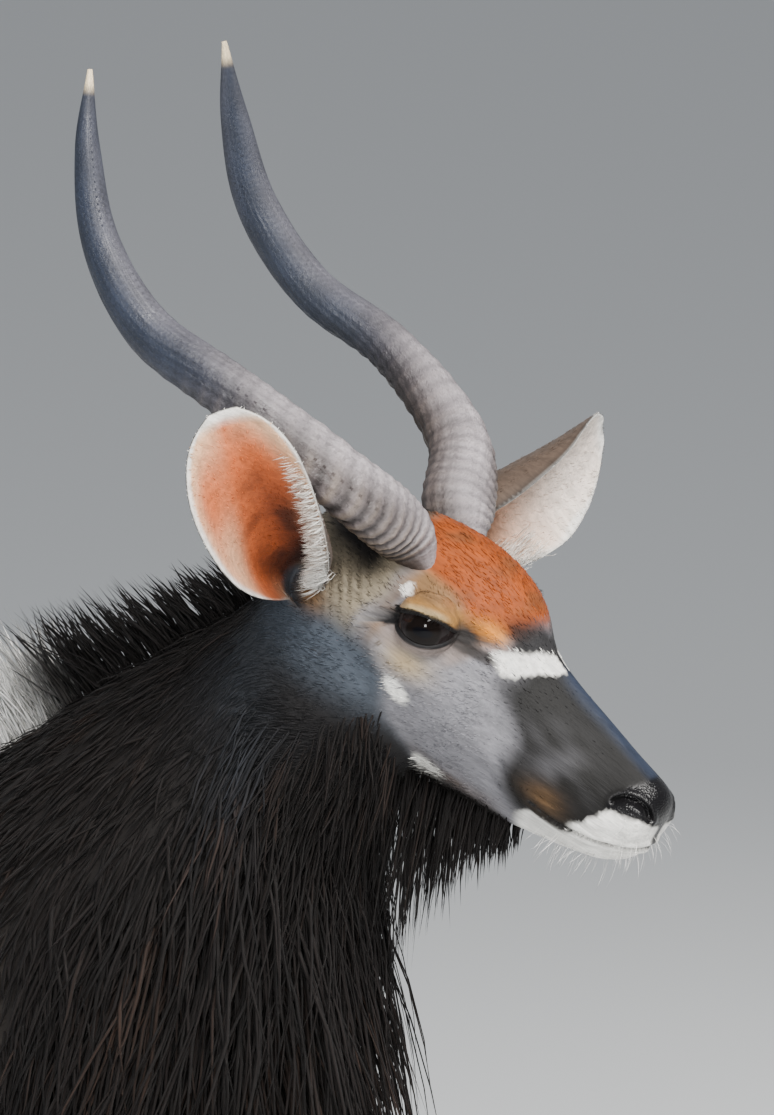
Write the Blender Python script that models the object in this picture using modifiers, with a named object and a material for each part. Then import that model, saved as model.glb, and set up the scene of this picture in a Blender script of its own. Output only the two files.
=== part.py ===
"""A life-size nyala bull, standing on a level floor with its head turned to its left.

Units are metres. X points forwards, Y to the animal's left and Z up. The animal is
modelled straight and symmetric first, then its neck is turned, its legs are set in
an easy stance, and the whole is moved so that the origin is under its middle.
"""

import math
import random

import bmesh
import bpy
import numpy as np
from mathutils import Matrix, Vector
from mathutils.bvhtree import BVHTree

SEED = 7
GAP = 0.0003

# Where the straight model's zero lies, seen from the middle of the finished one.
MODEL_SHIFT = Vector((-0.083, -0.039, 0.0))

# Head frame: forwards down the face, left, and up out of the forehead.
EYE_LINE = Vector((0.775, 0.0, 1.245))
FACE_PITCH = math.radians(30)
FORWARD = Vector((math.cos(FACE_PITCH), 0.0, -math.sin(FACE_PITCH)))
LEFT = Vector((0.0, 1.0, 0.0))
UPWARD = Vector((math.sin(FACE_PITCH), 0.0, math.cos(FACE_PITCH)))

# The neck turns about a vertical line, between these distances from a slanting plane.
HEAD_TURN = math.radians(26)
TURN_PIVOT = Vector((0.50, 0.0, 0.0))
TURN_PLANE = (Vector((0.375, 0.0, 1.11)), Vector((0.894, 0.0, 0.447)))
TURN_START = 0.03
TURN_END = 0.265

# Planes that part the head, the neck and the torso: a point and a normal.
SHOULDER_CUT = (Vector((0.400, 0.0, 1.11)), Vector((0.989, 0.0, 0.148)))
HEAD_CUT = (Vector((0.690, 0.0, 1.115)), Vector((0.979, 0.0, 0.204)))

# Torso rings: x, top, bottom, half width.
TORSO = (
    (-0.612, 0.925, 0.800, 0.040),
    (-0.585, 0.965, 0.745, 0.090),
    (-0.520, 1.022, 0.690, 0.138),
    (-0.420, 1.068, 0.655, 0.162),
    (-0.290, 1.080, 0.640, 0.160),
    (-0.130, 1.068, 0.600, 0.182),
    (0.050, 1.062, 0.565, 0.194),
    (0.200, 1.082, 0.555, 0.180),
    (0.320, 1.102, 0.570, 0.160),
    (0.420, 1.080, 0.605, 0.145),
    (0.495, 1.015, 0.660, 0.122),
    (0.540, 0.935, 0.730, 0.085),
)
TORSO_WIDEST = 0.47

# Neck rings: top x and z, bottom x and z, half width.
NECK = (
    (0.230, 1.080, 0.430, 0.680, 0.146),
    (0.350, 1.100, 0.535, 0.765, 0.132),
    (0.450, 1.143, 0.588, 0.875, 0.112),
    (0.540, 1.198, 0.632, 0.975, 0.093),
    (0.612, 1.243, 0.668, 1.052, 0.078),
    (0.668, 1.282, 0.700, 1.115, 0.068),
    (0.715, 1.296, 0.735, 1.150, 0.058),
)

# Head rings: along the face, top, bottom, then half widths high, midway and low.
HEAD = (
    (-0.120, 0.004, -0.066, 0.034, 0.042, 0.036),
    (-0.098, 0.020, -0.086, 0.042, 0.052, 0.044),
    (-0.070, 0.033, -0.100, 0.045, 0.058, 0.047),
    (-0.042, 0.040, -0.109, 0.047, 0.061, 0.048),
    (-0.015, 0.042, -0.112, 0.050, 0.060, 0.044),
    (0.012, 0.038, -0.111, 0.046, 0.054, 0.039),
    (0.034, 0.029, -0.109, 0.036, 0.047, 0.035),
    (0.052, 0.013, -0.106, 0.029, 0.041, 0.032),
    (0.076, 0.004, -0.102, 0.024, 0.035, 0.029),
    (0.102, -0.003, -0.095, 0.021, 0.030, 0.026),
    (0.126, -0.010, -0.088, 0.021, 0.027, 0.024),
    (0.146, -0.015, -0.081, 0.023, 0.027, 0.021),
    (0.159, -0.019, -0.071, 0.021, 0.024, 0.016),
    (0.166, -0.028, -0.060, 0.012, 0.015, 0.009),
)

# Leg rings: height, x, y, half depth, half width.
FORELEG = (
    (0.985, 0.290, 0.080, 0.045, 0.050),
    (0.880, 0.325, 0.100, 0.085, 0.058),
    (0.760, 0.385, 0.112, 0.100, 0.060),
    (0.670, 0.378, 0.108, 0.085, 0.053),
    (0.600, 0.362, 0.100, 0.062, 0.044),
    (0.520, 0.362, 0.093, 0.043, 0.034),
    (0.430, 0.366, 0.089, 0.030, 0.026),
    (0.380, 0.370, 0.087, 0.031, 0.028),
    (0.330, 0.368, 0.086, 0.028, 0.025),
    (0.280, 0.364, 0.086, 0.020, 0.018),
    (0.180, 0.362, 0.086, 0.0185, 0.0165),
    (0.115, 0.364, 0.087, 0.0245, 0.022),
    (0.085, 0.372, 0.088, 0.0205, 0.020),
    (0.046, 0.388, 0.088, 0.0270, 0.0265),
)
HINDLEG = (
    (1.000, -0.430, 0.075, 0.060, 0.050),
    (0.900, -0.465, 0.098, 0.115, 0.062),
    (0.800, -0.455, 0.110, 0.130, 0.068),
    (0.700, -0.415, 0.112, 0.112, 0.062),
    (0.620, -0.390, 0.107, 0.086, 0.051),
    (0.540, -0.412, 0.100, 0.062, 0.041),
    (0.460, -0.452, 0.094, 0.043, 0.030),
    (0.400, -0.486, 0.090, 0.037, 0.025),
    (0.355, -0.502, 0.088, 0.036, 0.025),
    (0.310, -0.498, 0.087, 0.029, 0.023),
    (0.260, -0.490, 0.086, 0.0215, 0.0185),
    (0.170, -0.478, 0.086, 0.0195, 0.017),
    (0.115, -0.470, 0.087, 0.0245, 0.022),
    (0.085, -0.462, 0.088, 0.0205, 0.020),
    (0.046, -0.446, 0.088, 0.0270, 0.0265),
)
ELBOW_CUT = 0.575
STIFLE_CUT = 0.590
CORONET = 0.046

# How far each foot stands ahead of its straight place, by leg.
STRIDE = {
    "foreleg_left": 0.045,
    "foreleg_right": -0.020,
    "hindleg_left": -0.055,
    "hindleg_right": 0.050,
}
STRIDE_TOP = {"fore": 0.56, "hind": 0.575}

# The dew claws behind each pastern: height, distance behind, half spread, size.
DEW_CLAW = (0.098, 0.024, 0.011, 0.0085)

# Tail line: x, z, radius.
TAIL = (
    (-0.560, 0.990, 0.024),
    (-0.612, 0.968, 0.024),
    (-0.646, 0.905, 0.021),
    (-0.655, 0.820, 0.019),
    (-0.653, 0.730, 0.017),
    (-0.648, 0.640, 0.012),
)

# Horn line in the head frame's level form: forwards, outwards and up from the eye line.
HORN = (
    (-0.024, 0.024, 0.026, 0.0060),
    (-0.038, 0.034, 0.054, 0.0205),
    (-0.060, 0.074, 0.092, 0.0200),
    (-0.118, 0.096, 0.140, 0.0160),
    (-0.177, 0.097, 0.175, 0.0142),
    (-0.213, 0.093, 0.224, 0.0122),
    (-0.226, 0.087, 0.279, 0.0084),
    (-0.229, 0.079, 0.327, 0.0016),
)
HORN_TWIST = math.radians(215)
HORN_KEEL = 0.20

# Ears: root, tip and the way the cup faces, forwards, outwards and up from the eye
# line, then how far the middle bows out that way.
EARS = {
    "ear_right": ((-0.098, 0.050, 0.026), (-0.080, 0.166, 0.124), (0.42, 0.90, 0.00), 0.014),
    "ear_left": ((-0.098, 0.050, 0.024), (-0.004, 0.182, 0.076), (0.62, -0.60, -0.55), 0.004),
}
# Ear rings: share of the length, half breadth along the skin, radius of the curl.
EAR_SHAPE = (
    (0.00, 0.034, 0.0135),
    (0.15, 0.047, 0.0195),
    (0.35, 0.058, 0.0285),
    (0.55, 0.059, 0.0335),
    (0.75, 0.051, 0.0375),
    (0.92, 0.031, 0.0440),
    (1.00, 0.009, 0.0500),
)
EAR_THICK = 0.0032
EAR_CLEAR = 0.0015

# The crest's height by distance along the back, and how far its locks stand to each
# side of the middle.
CREST_AT = (-0.560, -0.300, 0.000, 0.250, 0.450, 0.560, 0.680)
CREST_LONG = (0.050, 0.075, 0.095, 0.105, 0.078, 0.050, 0.022)
CREST_APART = 0.0055
CREST_LEAN = -0.40
NECK_CREST = (0.655, 0.420, 10)
BACK_CREST = (0.384, -0.545, 34)

# A lock on edge, in the crest and the belly fringe: shares of its length with the
# breadth there, how far the tip sweeps back, and half the thickness at its root.
BLADE_STEPS = ((0.0, 0.050), (0.45, 0.046), (0.80, 0.025))
BLADE_SWEEP = 0.16
BLADE_THICK = 0.0045
ROOT_DEPTH = 0.014

# The mane: rows down the neck and columns round each side, then the part of the neck
# and the degrees from the crest that they cover, and the size of a lock.
MANE_ROWS = 8
MANE_COLUMNS = 5
MANE_ALONG = (0.20, 0.74)
MANE_ROUND = (72, 104)
MANE_LONG = (0.095, 0.105)
MANE_WIDE = (0.036, 0.041)
MANE_THICK = 0.011

# The chest's locks: the top row's height, the distance between rows, and a lock's
# length, width and thickness.
CHEST_TOP = 0.850
CHEST_APART = 0.055
CHEST_LOCK = (0.165, 0.052, 0.013)

# The brisket's, the belly fringe's, the thigh's and the beard's locks, likewise.
BRISKET_FRONT = 0.425
BRISKET_APART = 0.032
BRISKET_LOCK = (0.125, 0.040, 0.012)
FRINGE_FRONT = 0.270
FRINGE_RUN = 0.680
FRINGE_COUNT = 19
FRINGE_LONG = (0.115, 0.030)
THIGH_TOP = 0.845
THIGH_APART = 0.046
THIGH_LOCK = (0.072, 0.034, 0.010)
BEARD_FRONT = 0.078
BEARD_APART = 0.017
BEARD_LONG = (0.028, 0.019)
BEARD_WIDE = (0.026, 0.003)
BEARD_THICK = 0.010

# The tail's locks: how many, the first one's length and how much longer the last is.
TAIL_LOCKS = 11
TAIL_LONG = (0.075, 0.045)
TAIL_LOCK = (0.032, 0.010)

# Each ring of a lock: how far along it is from the one before, and its share of the
# full width; then the tip's own share of the length.
LOCK_STEPS = ((0.0, 0.75), (0.36, 1.0), (0.34, 0.66))
LOCK_TIP = 0.30

EYE_RADIUS = 0.0178
EYE_CENTRE = (-0.011, 0.0465, -0.006)
EYE_FACING = (0.34, 0.92, 0.10)
LID_THICK = 0.0030
FISSURE_LONG = 0.040
FISSURE_HIGH = 0.0235
FISSURE_TILT = math.radians(14)

MOUTH = (
    (0.094, 0.031, -0.0695),
    (0.116, 0.027, -0.0725),
    (0.140, 0.022, -0.0665),
    (0.157, 0.013, -0.0590),
    (0.165, 0.000, -0.0560),
)
NOSTRIL = (0.1525, 0.0165, -0.0285)

CLAW_LONG = 0.068
CLAW_WIDE = 0.0245

# Rounded forms of the head: forwards, outwards, up, radius, amount.
HEAD_FORMS = (
    (-0.010, 0.058, 0.014, 0.022, 0.0062),
    (-0.012, 0.060, -0.026, 0.022, 0.0025),
    (0.030, 0.052, 0.000, 0.018, -0.0030),
    (-0.040, 0.058, -0.012, 0.022, 0.0030),
    (-0.030, 0.052, -0.075, 0.034, 0.0045),
    (0.060, 0.036, -0.038, 0.026, -0.0030),
    (0.062, 0.030, -0.072, 0.020, -0.0025),
    (0.135, 0.024, -0.055, 0.013, 0.0022),
    (0.142, 0.020, -0.079, 0.013, 0.0015),
    (0.092, 0.027, -0.085, 0.020, -0.0020),
    (-0.058, 0.036, 0.030, 0.020, 0.0075),
)
# Rounded forms of the body: x, y, z, radius, amount.
BODY_FORMS = (
    (-0.265, 0.150, 0.800, 0.090, -0.016),
    (-0.335, 0.110, 1.045, 0.050, 0.010),
    (0.215, 0.175, 0.860, 0.070, -0.009),
    (0.395, 0.130, 0.790, 0.060, 0.008),
    (0.470, 0.110, 0.960, 0.060, -0.008),
    (-0.500, 0.140, 0.800, 0.070, 0.008),
)

BODY_VOXEL = 0.0075
HEAD_VOXEL = 0.0032
BODY_TRIANGLES = 1700
HEAD_TRIANGLES = 1400
FLAT_ANGLE = 0.02


def level_point(forwards, outwards, up, side=1):
    """A point given level from the eye line, on the left for side 1."""
    return EYE_LINE + Vector((forwards, side * outwards, up))


def face_point(along, across, up, side=1):
    """A point given along, across and out of the face."""
    return EYE_LINE + FORWARD * along + LEFT * (side * across) + UPWARD * up


def spline(rows, count):
    """Rows of numbers, drawn through smoothly and evenly as this many rows."""
    rows = np.array(rows, float)
    ends = np.vstack([2 * rows[0] - rows[1], rows, 2 * rows[-1] - rows[-2]])
    made = []
    for place in np.linspace(0, len(rows) - 1, count):
        i = min(int(place), len(rows) - 2)
        t = place - i
        a, b, c, d = ends[i : i + 4]
        made.append(
            0.5 * (2 * b + (c - a) * t + (2 * a - 5 * b + 4 * c - d) * t**2
                   + (3 * b - a - 3 * c + d) * t**3)
        )
    return made


def link(name, mesh):
    """A new object in the scene."""
    obj = bpy.data.objects.new(name, mesh)
    bpy.context.scene.collection.objects.link(obj)
    return obj


def loft(name, rings):
    """A closed skin through rings of the same number of points, capped at both ends."""
    bm = bmesh.new()
    rows = [[bm.verts.new(p) for p in ring] for ring in rings]
    size = len(rows[0])
    for low, high in zip(rows, rows[1:]):
        for i in range(size):
            j = (i + 1) % size
            bm.faces.new((low[i], low[j], high[j], high[i]))
    bm.faces.new(rows[0])
    bm.faces.new(rows[-1])
    return finished(name, bm)


def finished(name, bm):
    """An object from a closed bmesh, with its faces turned out."""
    bmesh.ops.recalc_face_normals(bm, faces=bm.faces)
    if bm.calc_volume(signed=True) < 0:
        bmesh.ops.reverse_faces(bm, faces=bm.faces)
    mesh = bpy.data.meshes.new(name)
    bm.to_mesh(mesh)
    bm.free()
    return link(name, mesh)


def evaluated(obj):
    """Puts what the modifiers make in place of the object's mesh."""
    graph = bpy.context.evaluated_depsgraph_get()
    mesh = bpy.data.meshes.new_from_object(obj.evaluated_get(graph))
    obj.modifiers.clear()
    obj.data = mesh
    return obj


def coordinates(obj):
    """The object's points as an array."""
    found = np.empty(len(obj.data.vertices) * 3)
    obj.data.vertices.foreach_get("co", found)
    return found.reshape(-1, 3)


def set_coordinates(obj, points):
    """Moves the object's points."""
    obj.data.vertices.foreach_set("co", np.ascontiguousarray(points, float).ravel())
    obj.data.update()


def normals(obj):
    """The object's normals at its points."""
    found = np.empty(len(obj.data.vertices) * 3)
    obj.data.vertex_normals.foreach_get("vector", found)
    return found.reshape(-1, 3)


def combine(obj, others, operation):
    """Joins other closed objects to this one, or cuts them from it, and removes them."""
    tools = bpy.data.collections.new("tools")
    bpy.context.scene.collection.children.link(tools)
    for other in others:
        bpy.context.scene.collection.objects.unlink(other)
        tools.objects.link(other)
    modifier = obj.modifiers.new("combine", "BOOLEAN")
    modifier.operation = operation
    modifier.operand_type = "COLLECTION"
    modifier.collection = tools
    modifier.solver = "MANIFOLD"
    evaluated(obj)
    for other in others:
        bpy.data.objects.remove(other)
    bpy.data.collections.remove(tools)
    return obj


def simplified(obj):
    """Joins the flat scraps that cuts and unions leave, where that keeps it closed."""
    for angle in (FLAT_ANGLE, FLAT_ANGLE / 4, 0.0):
        bm = bmesh.new()
        bm.from_mesh(obj.data)
        if angle:
            bmesh.ops.dissolve_limit(bm, angle_limit=angle, verts=bm.verts, edges=bm.edges)
        bmesh.ops.triangulate(bm, faces=bm.faces)
        closed = all(len(edge.link_faces) == 2 for edge in bm.edges)
        if closed:
            bm.to_mesh(obj.data)
        bm.free()
        if closed:
            break
    return obj


def copied(obj, name):
    """A second object with a mesh of its own."""
    return link(name, obj.data.copy())


def swollen(obj, amount=GAP):
    """A copy whose skin stands this far outside, as a cutter for what meets it."""
    copy = copied(obj, obj.name + "_swollen")
    set_coordinates(copy, coordinates(copy) + normals(copy) * amount)
    return copy


def beyond(plane, side):
    """A large block that fills one side of a plane, from half a gap away."""
    point, normal = plane
    reach = 3.0
    bm = bmesh.new()
    turn = (normal * side).to_track_quat("Z", "Y").to_matrix().to_4x4()
    centre = point + normal * side * (reach / 2 + GAP / 2)
    bmesh.ops.create_cube(bm, size=reach, matrix=Matrix.Translation(centre) @ turn)
    return finished("beyond", bm)


def block(low, high):
    """A box between two corners."""
    bm = bmesh.new()
    low, high = Vector(low), Vector(high)
    scale = Matrix.Diagonal((*(high - low), 1.0))
    bmesh.ops.create_cube(bm, size=1.0, matrix=Matrix.Translation((low + high) / 2) @ scale)
    return finished("block", bm)


def largest(obj):
    """Keeps the object's largest closed surface and drops the rest."""
    bm = bmesh.new()
    bm.from_mesh(obj.data)
    left = set(bm.verts)
    bodies = []
    while left:
        grown = {left.pop()}
        edge = list(grown)
        while edge:
            vert = edge.pop()
            for e in vert.link_edges:
                other = e.other_vert(vert)
                if other not in grown:
                    grown.add(other)
                    edge.append(other)
        left -= grown
        low = np.min([v.co for v in grown], axis=0)
        high = np.max([v.co for v in grown], axis=0)
        bodies.append((float(np.prod(high - low)), grown))
    bodies.sort(key=lambda body: body[0])
    for _, grown in bodies[:-1]:
        bmesh.ops.delete(bm, geom=list(grown), context="VERTS")
    bm.to_mesh(obj.data)
    bm.free()
    return obj


def merged(name, parts, voxel, passes):
    """One smooth skin round several overlapping closed objects."""
    bm = bmesh.new()
    for part in parts:
        bm.from_mesh(part.data)
        bpy.data.objects.remove(part)
    mesh = bpy.data.meshes.new(name)
    bm.to_mesh(mesh)
    bm.free()
    obj = link(name, mesh)
    remesh = obj.modifiers.new("remesh", "REMESH")
    remesh.mode = "VOXEL"
    remesh.voxel_size = voxel
    smooth = obj.modifiers.new("smooth", "SMOOTH")
    smooth.factor = 0.5
    smooth.iterations = passes
    return evaluated(obj)


def shape_forms(obj, forms, place):
    """Raises or sinks rounded forms on both sides of a skin, along its normals."""
    points = coordinates(obj)
    out = normals(obj)
    moved = np.zeros(len(points))
    for a, b, c, radius, amount in forms:
        for side in (1, -1):
            centre = np.array(place(a, b, c, side))
            away = np.sum((points - centre) ** 2, axis=1)
            moved += amount * np.exp(-away / (0.5 * radius**2))
    set_coordinates(obj, points + out * moved[:, None])


def thinned(obj, triangles):
    """Brings a skin down to about this many triangles."""
    decimate = obj.modifiers.new("decimate", "DECIMATE")
    obj.data.calc_loop_triangles()
    decimate.ratio = triangles / len(obj.data.loop_triangles)
    decimate.use_collapse_triangulate = True
    return evaluated(obj)


def upright_ring(front, back, across, half_width, segments):
    """An oval between two points, this wide to each side of a line across."""
    front, back = Vector(front), Vector(back)
    middle, half = (front + back) / 2, (front - back) / 2
    return [
        middle + half * math.cos(t) + Vector(across) * (half_width * math.sin(t))
        for t in np.linspace(0, 2 * math.pi, segments, endpoint=False)
    ]


def torso_rings(count=40, segments=32):
    """Egg-shaped rings along the body, widest a little below the middle."""
    rings = []
    for x, top, bottom, half_width in spline(TORSO, count):
        widest = bottom + TORSO_WIDEST * (top - bottom)
        ring = []
        for t in np.linspace(0, 2 * math.pi, segments, endpoint=False):
            rise = math.cos(t)
            reach = top - widest if rise > 0 else widest - bottom
            pinch = 1 - 0.14 * max(rise, 0) ** 2
            ring.append(Vector((x, half_width * math.sin(t) * pinch, widest + reach * rise)))
        rings.append(ring)
    return rings


def neck_rings(count=24, segments=28):
    """Ovals along the neck, each between a point of the crest and one of the throat."""
    return [
        upright_ring((tx, 0, tz), (bx, 0, bz), LEFT, half_width, segments)
        for tx, tz, bx, bz, half_width in spline(NECK, count)
    ]


def head_rings(count=60, segments=36):
    """Rings along the face, with their own widths high, midway and low."""
    rings = []
    for along, top, bottom, high, mid, low in spline(HEAD, count):
        widths = np.polyfit((0.2, 0.5, 0.8), (high, mid, low), 2)
        ring = []
        for t in np.linspace(0, 2 * math.pi, segments, endpoint=False):
            depth = (1 - math.cos(t)) / 2
            full = np.polyval(widths, min(max(depth, 0.08), 0.92))
            side = math.copysign(abs(math.sin(t)) ** 0.82, math.sin(t))
            ring.append(face_point(along, full * side, top + (bottom - top) * depth))
        rings.append(ring)
    return rings


def leg_rings(table, side, count, segments, low=CORONET, high=2.0):
    """Level ovals down a leg, between two heights."""
    rings = []
    for z, x, y, deep, wide in spline(table, count):
        if low - 1e-6 <= z <= high:
            rings.append(
                upright_ring((x + deep, side * y, z), (x - deep, side * y, z),
                             LEFT, wide, segments)
            )
    return rings


def leg_at(table, height):
    """A leg's ring sizes at one height."""
    rows = np.array(spline(table, 200))
    return [float(np.interp(-height, -rows[:, 0], rows[:, k])) for k in range(5)]


def lock(root, out, lie, length, width, thick, sink=ROOT_DEPTH, lift=0.55):
    """A flat tapered lock of hair that leaves the skin and bends over to its lie."""
    out, lie = Vector(out).normalized(), Vector(lie).normalized()
    place = Vector(root) - out * sink
    heading = (out * lift + lie * (1 - lift)).normalized()
    bm = bmesh.new()
    rows = []
    for stretch, taper in LOCK_STEPS:
        heading = (heading + lie * (0.55 * bool(rows))).normalized()
        place = place + heading * (length * stretch + sink * (len(rows) == 1))
        across = heading.cross(out)
        across = across.normalized() if across.length > 0.05 else lie.orthogonal()
        face = across.cross(heading).normalized()
        half, deep = width / 2 * taper, thick * (0.35 + 0.65 * taper)
        rows.append([bm.verts.new(place + across * half), bm.verts.new(place + face * deep),
                     bm.verts.new(place - across * half)])
    tip = bm.verts.new(place + (heading + lie * 0.55).normalized() * (length * LOCK_TIP))
    for low, high in zip(rows, rows[1:]):
        for i in range(3):
            j = (i + 1) % 3
            bm.faces.new((low[i], low[j], high[j], high[i]))
    for i in range(3):
        bm.faces.new((rows[-1][i], rows[-1][(i + 1) % 3], tip))
    bm.faces.new(rows[0])
    return finished("lock", bm)


class Surface:
    """A skin that roots can be found on, by a ray from inside."""

    def __init__(self, obj):
        """Reads the skin's faces."""
        self.tree = BVHTree.FromObject(obj, bpy.context.evaluated_depsgraph_get())

    def root(self, inside, towards):
        """Where a ray from inside leaves the skin, and the normal there."""
        place, normal, _, _ = self.tree.ray_cast(Vector(inside) + Vector(towards) * 2.0,
                                                 -Vector(towards))
        return place, normal


def neck_axis(share):
    """Middle, crest direction and forward direction of the neck, share 0 to 1."""
    rows = np.array(spline(NECK, 60))
    at = share * 59
    tx, tz, bx, bz, _ = (np.interp(at, range(60), rows[:, k]) for k in range(5))
    top, bottom = Vector((tx, 0, tz)), Vector((bx, 0, bz))
    up = (top - bottom).normalized()
    return (top + bottom) / 2, up, Vector((up.z, 0, -up.x))


def neck_locks(skin, draw):
    """Long hair over the sides of the neck and thick under the throat."""
    made = []
    for row in range(MANE_ROWS):
        for column in range(MANE_COLUMNS):
            share = MANE_ALONG[0] + MANE_ALONG[1] * (row + 0.5 * (column % 2)) / MANE_ROWS
            low = (column + 0.5) / MANE_COLUMNS
            around = math.radians(MANE_ROUND[0] + MANE_ROUND[1] * low)
            for side in (1, -1):
                middle, up, _ = neck_axis(min(share + draw.uniform(-0.015, 0.015), 0.96))
                towards = up * math.cos(around) + LEFT * (side * math.sin(around))
                root, out = skin.root(middle, towards)
                if root is None:
                    continue
                length = MANE_LONG[0] + MANE_LONG[1] * low + draw.uniform(-0.012, 0.014)
                lie = Vector((-0.24 + 0.24 * low, 0.0, -1.0)) + out * 0.14
                lie.y += draw.uniform(-0.06, 0.06)
                width = draw.uniform(*MANE_WIDE) + 0.012 * low * low
                made.append(lock(root, out, lie, length, width, MANE_THICK,
                                 lift=0.45 + 0.14 * low))
    return made


def chest_locks(skin, draw):
    """The mane's lower end, down the front of the chest and between the forelegs."""
    made = []
    long, wide, thick = CHEST_LOCK
    for row in range(4):
        z = CHEST_TOP - CHEST_APART * row
        for column in range(2):
            for side in (1, -1):
                across = 0.024 + 0.044 * column
                root, out = skin.root((0.36, side * across, z), Vector((1, 0, 0.0)))
                if root is None:
                    continue
                lie = Vector((-0.10, side * -0.02, -1.0))
                length = long - 0.025 * column + draw.uniform(-0.012, 0.012)
                made.append(lock(root, out, lie, length, wide, thick, lift=0.50))
    return made


def brisket_locks(skin, draw):
    """Hair below the chest, between the forelegs."""
    made = []
    long, wide, thick = BRISKET_LOCK
    for k in range(5):
        x = BRISKET_FRONT - BRISKET_APART * k
        for side in (1, -1):
            root, out = skin.root((x, side * 0.020, 0.75), Vector((0, 0, -1)))
            length = long + draw.uniform(-0.010, 0.010)
            made.append(lock(root, out, (-0.18, side * 0.02, -1.0), length, wide, thick))
    return made


def belly_locks(skin, draw):
    """The fringe that hangs along the middle of the belly to the groin."""
    made = []
    for k in range(FRINGE_COUNT):
        share = k / (FRINGE_COUNT - 1)
        x = FRINGE_FRONT - FRINGE_RUN * share
        for side in (1, -1):
            across = side * (0.012 + 0.016 * (k % 2))
            root, _ = skin.root((x + 0.009 * side, across, 0.80), Vector((0, 0, -1)))
            length = FRINGE_LONG[0] + FRINGE_LONG[1] * math.sin(math.pi * share)
            length += draw.uniform(-0.016, 0.012)
            lie = (-0.14 + draw.uniform(-0.07, 0.07), side * draw.uniform(0.06, 0.14), -1.0)
            made.append(blade(root, lie, length, 0.86, 0.020))
    return made


def crest_locks(skin, draw, first, last, count):
    """The upright crest along the back, between two distances."""
    made = []
    for k in range(count):
        x = first + (last - first) * k / (count - 1)
        side = (-1) ** k
        root, _ = skin.root((x, CREST_APART * side, 0.95), Vector((0, 0, 1)))
        length = float(np.interp(x, CREST_AT, CREST_LONG)) + draw.uniform(-0.007, 0.007)
        lean = CREST_LEAN + draw.uniform(-0.05, 0.05)
        made.append(blade(root, (lean, side * draw.uniform(0.02, 0.10), 0.90), length))
    return made


def blade(root, lie, length, wide=1.0, sink=ROOT_DEPTH):
    """One upright lock of the crest or hanging lock of the fringe, on edge."""
    lie = Vector(lie).normalized()
    start = Vector(root) - lie * sink
    sweep = Vector((-BLADE_SWEEP * length, 0, 0))
    bm = bmesh.new()
    rows = []
    for share, breadth in BLADE_STEPS:
        place = start + lie * (share * (length + sink)) + sweep * share * share
        half = Vector((breadth * wide / 2, 0, 0))
        thick = LEFT * (BLADE_THICK * (1 - 0.55 * share))
        rows.append([bm.verts.new(place + half), bm.verts.new(place + thick),
                     bm.verts.new(place - half), bm.verts.new(place - thick)])
    tip = bm.verts.new(start + lie * (length + sink) + sweep)
    for low, high in zip(rows, rows[1:]):
        for i in range(4):
            j = (i + 1) % 4
            bm.faces.new((low[i], low[j], high[j], high[i]))
    for i in range(4):
        bm.faces.new((rows[-1][i], rows[-1][(i + 1) % 4], tip))
    bm.faces.new(rows[0])
    return finished("lock", bm)


def thigh_locks(skin, draw):
    """Longer hair down the back edge of each thigh."""
    made = []
    long, wide, thick = THIGH_LOCK
    for k in range(5):
        z = THIGH_TOP - THIGH_APART * k
        for side in (1, -1):
            root, out = skin.root((-0.46, side * 0.105, z), Vector((-1, 0, 0)))
            lie = (-0.25, side * 0.05, -1.0)
            length = long + draw.uniform(-0.006, 0.006)
            made.append(lock(root, out, lie, length, wide, thick))
    return made


def throat_locks(skin, draw):
    """The beard, short behind the chin and long where it meets the mane."""
    made = []
    for row in range(5):
        along = BEARD_FRONT - BEARD_APART * row
        for side in (1, -1):
            across = side * (0.010 + 0.003 * row)
            root, out = skin.root(face_point(along, across, -0.05), -UPWARD)
            length = BEARD_LONG[0] + BEARD_LONG[1] * row + draw.uniform(-0.005, 0.005)
            lie = Vector((-0.34, side * 0.03, -1.0))
            width = BEARD_WIDE[0] + BEARD_WIDE[1] * row
            made.append(lock(root, out, lie, length, width, BEARD_THICK, sink=0.010,
                             lift=0.45))
    return made


def tail_node(torso, draw):
    """The tail, a tapering core that carries bushy hair to its end."""
    rows = spline(TAIL, 12)
    rings = []
    for i, (x, z, radius) in enumerate(rows):
        before, after = rows[max(i - 1, 0)], rows[min(i + 1, len(rows) - 1)]
        run = Vector((after[0] - before[0], 0, after[1] - before[1])).normalized()
        out = Vector((run.z, 0, -run.x))
        rings.append([
            Vector((x, 0, z)) + out * (radius * math.cos(t)) + LEFT * (radius * math.sin(t))
            for t in np.linspace(0, 2 * math.pi, 8, endpoint=False)
        ])
    obj = loft("tail", rings)
    made = []
    wide, thick = TAIL_LOCK
    for k in range(TAIL_LOCKS):
        at = spline(TAIL, 40)[9 + int(k * 2.8)]
        turn = k * 2.4
        out = Vector((math.cos(turn) * 0.8 - 0.2, math.sin(turn), 0.0)).normalized()
        root = Vector((at[0], 0, at[1])) + out * at[2] * 0.9
        length = TAIL_LONG[0] + TAIL_LONG[1] * k / 10 + draw.uniform(-0.008, 0.008)
        made.append(lock(root, out, out * 0.20 + Vector((0, 0, -1)), length, wide, thick,
                         sink=0.010, lift=0.35))
    combine(obj, made, "UNION")
    combine(obj, [swollen(torso)], "DIFFERENCE")
    return largest(simplified(obj))


def eye_axis(side):
    """The way an eye faces."""
    forwards, outwards, up = EYE_FACING
    return (FORWARD * forwards + LEFT * (side * outwards) + UPWARD * up).normalized()


def ball(name, centre, radius, segments=14, rings=8):
    """A sphere in place."""
    bm = bmesh.new()
    bmesh.ops.create_uvsphere(bm, u_segments=segments, v_segments=rings, radius=radius,
                              matrix=Matrix.Translation(centre))
    return finished(name, bm)


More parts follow.
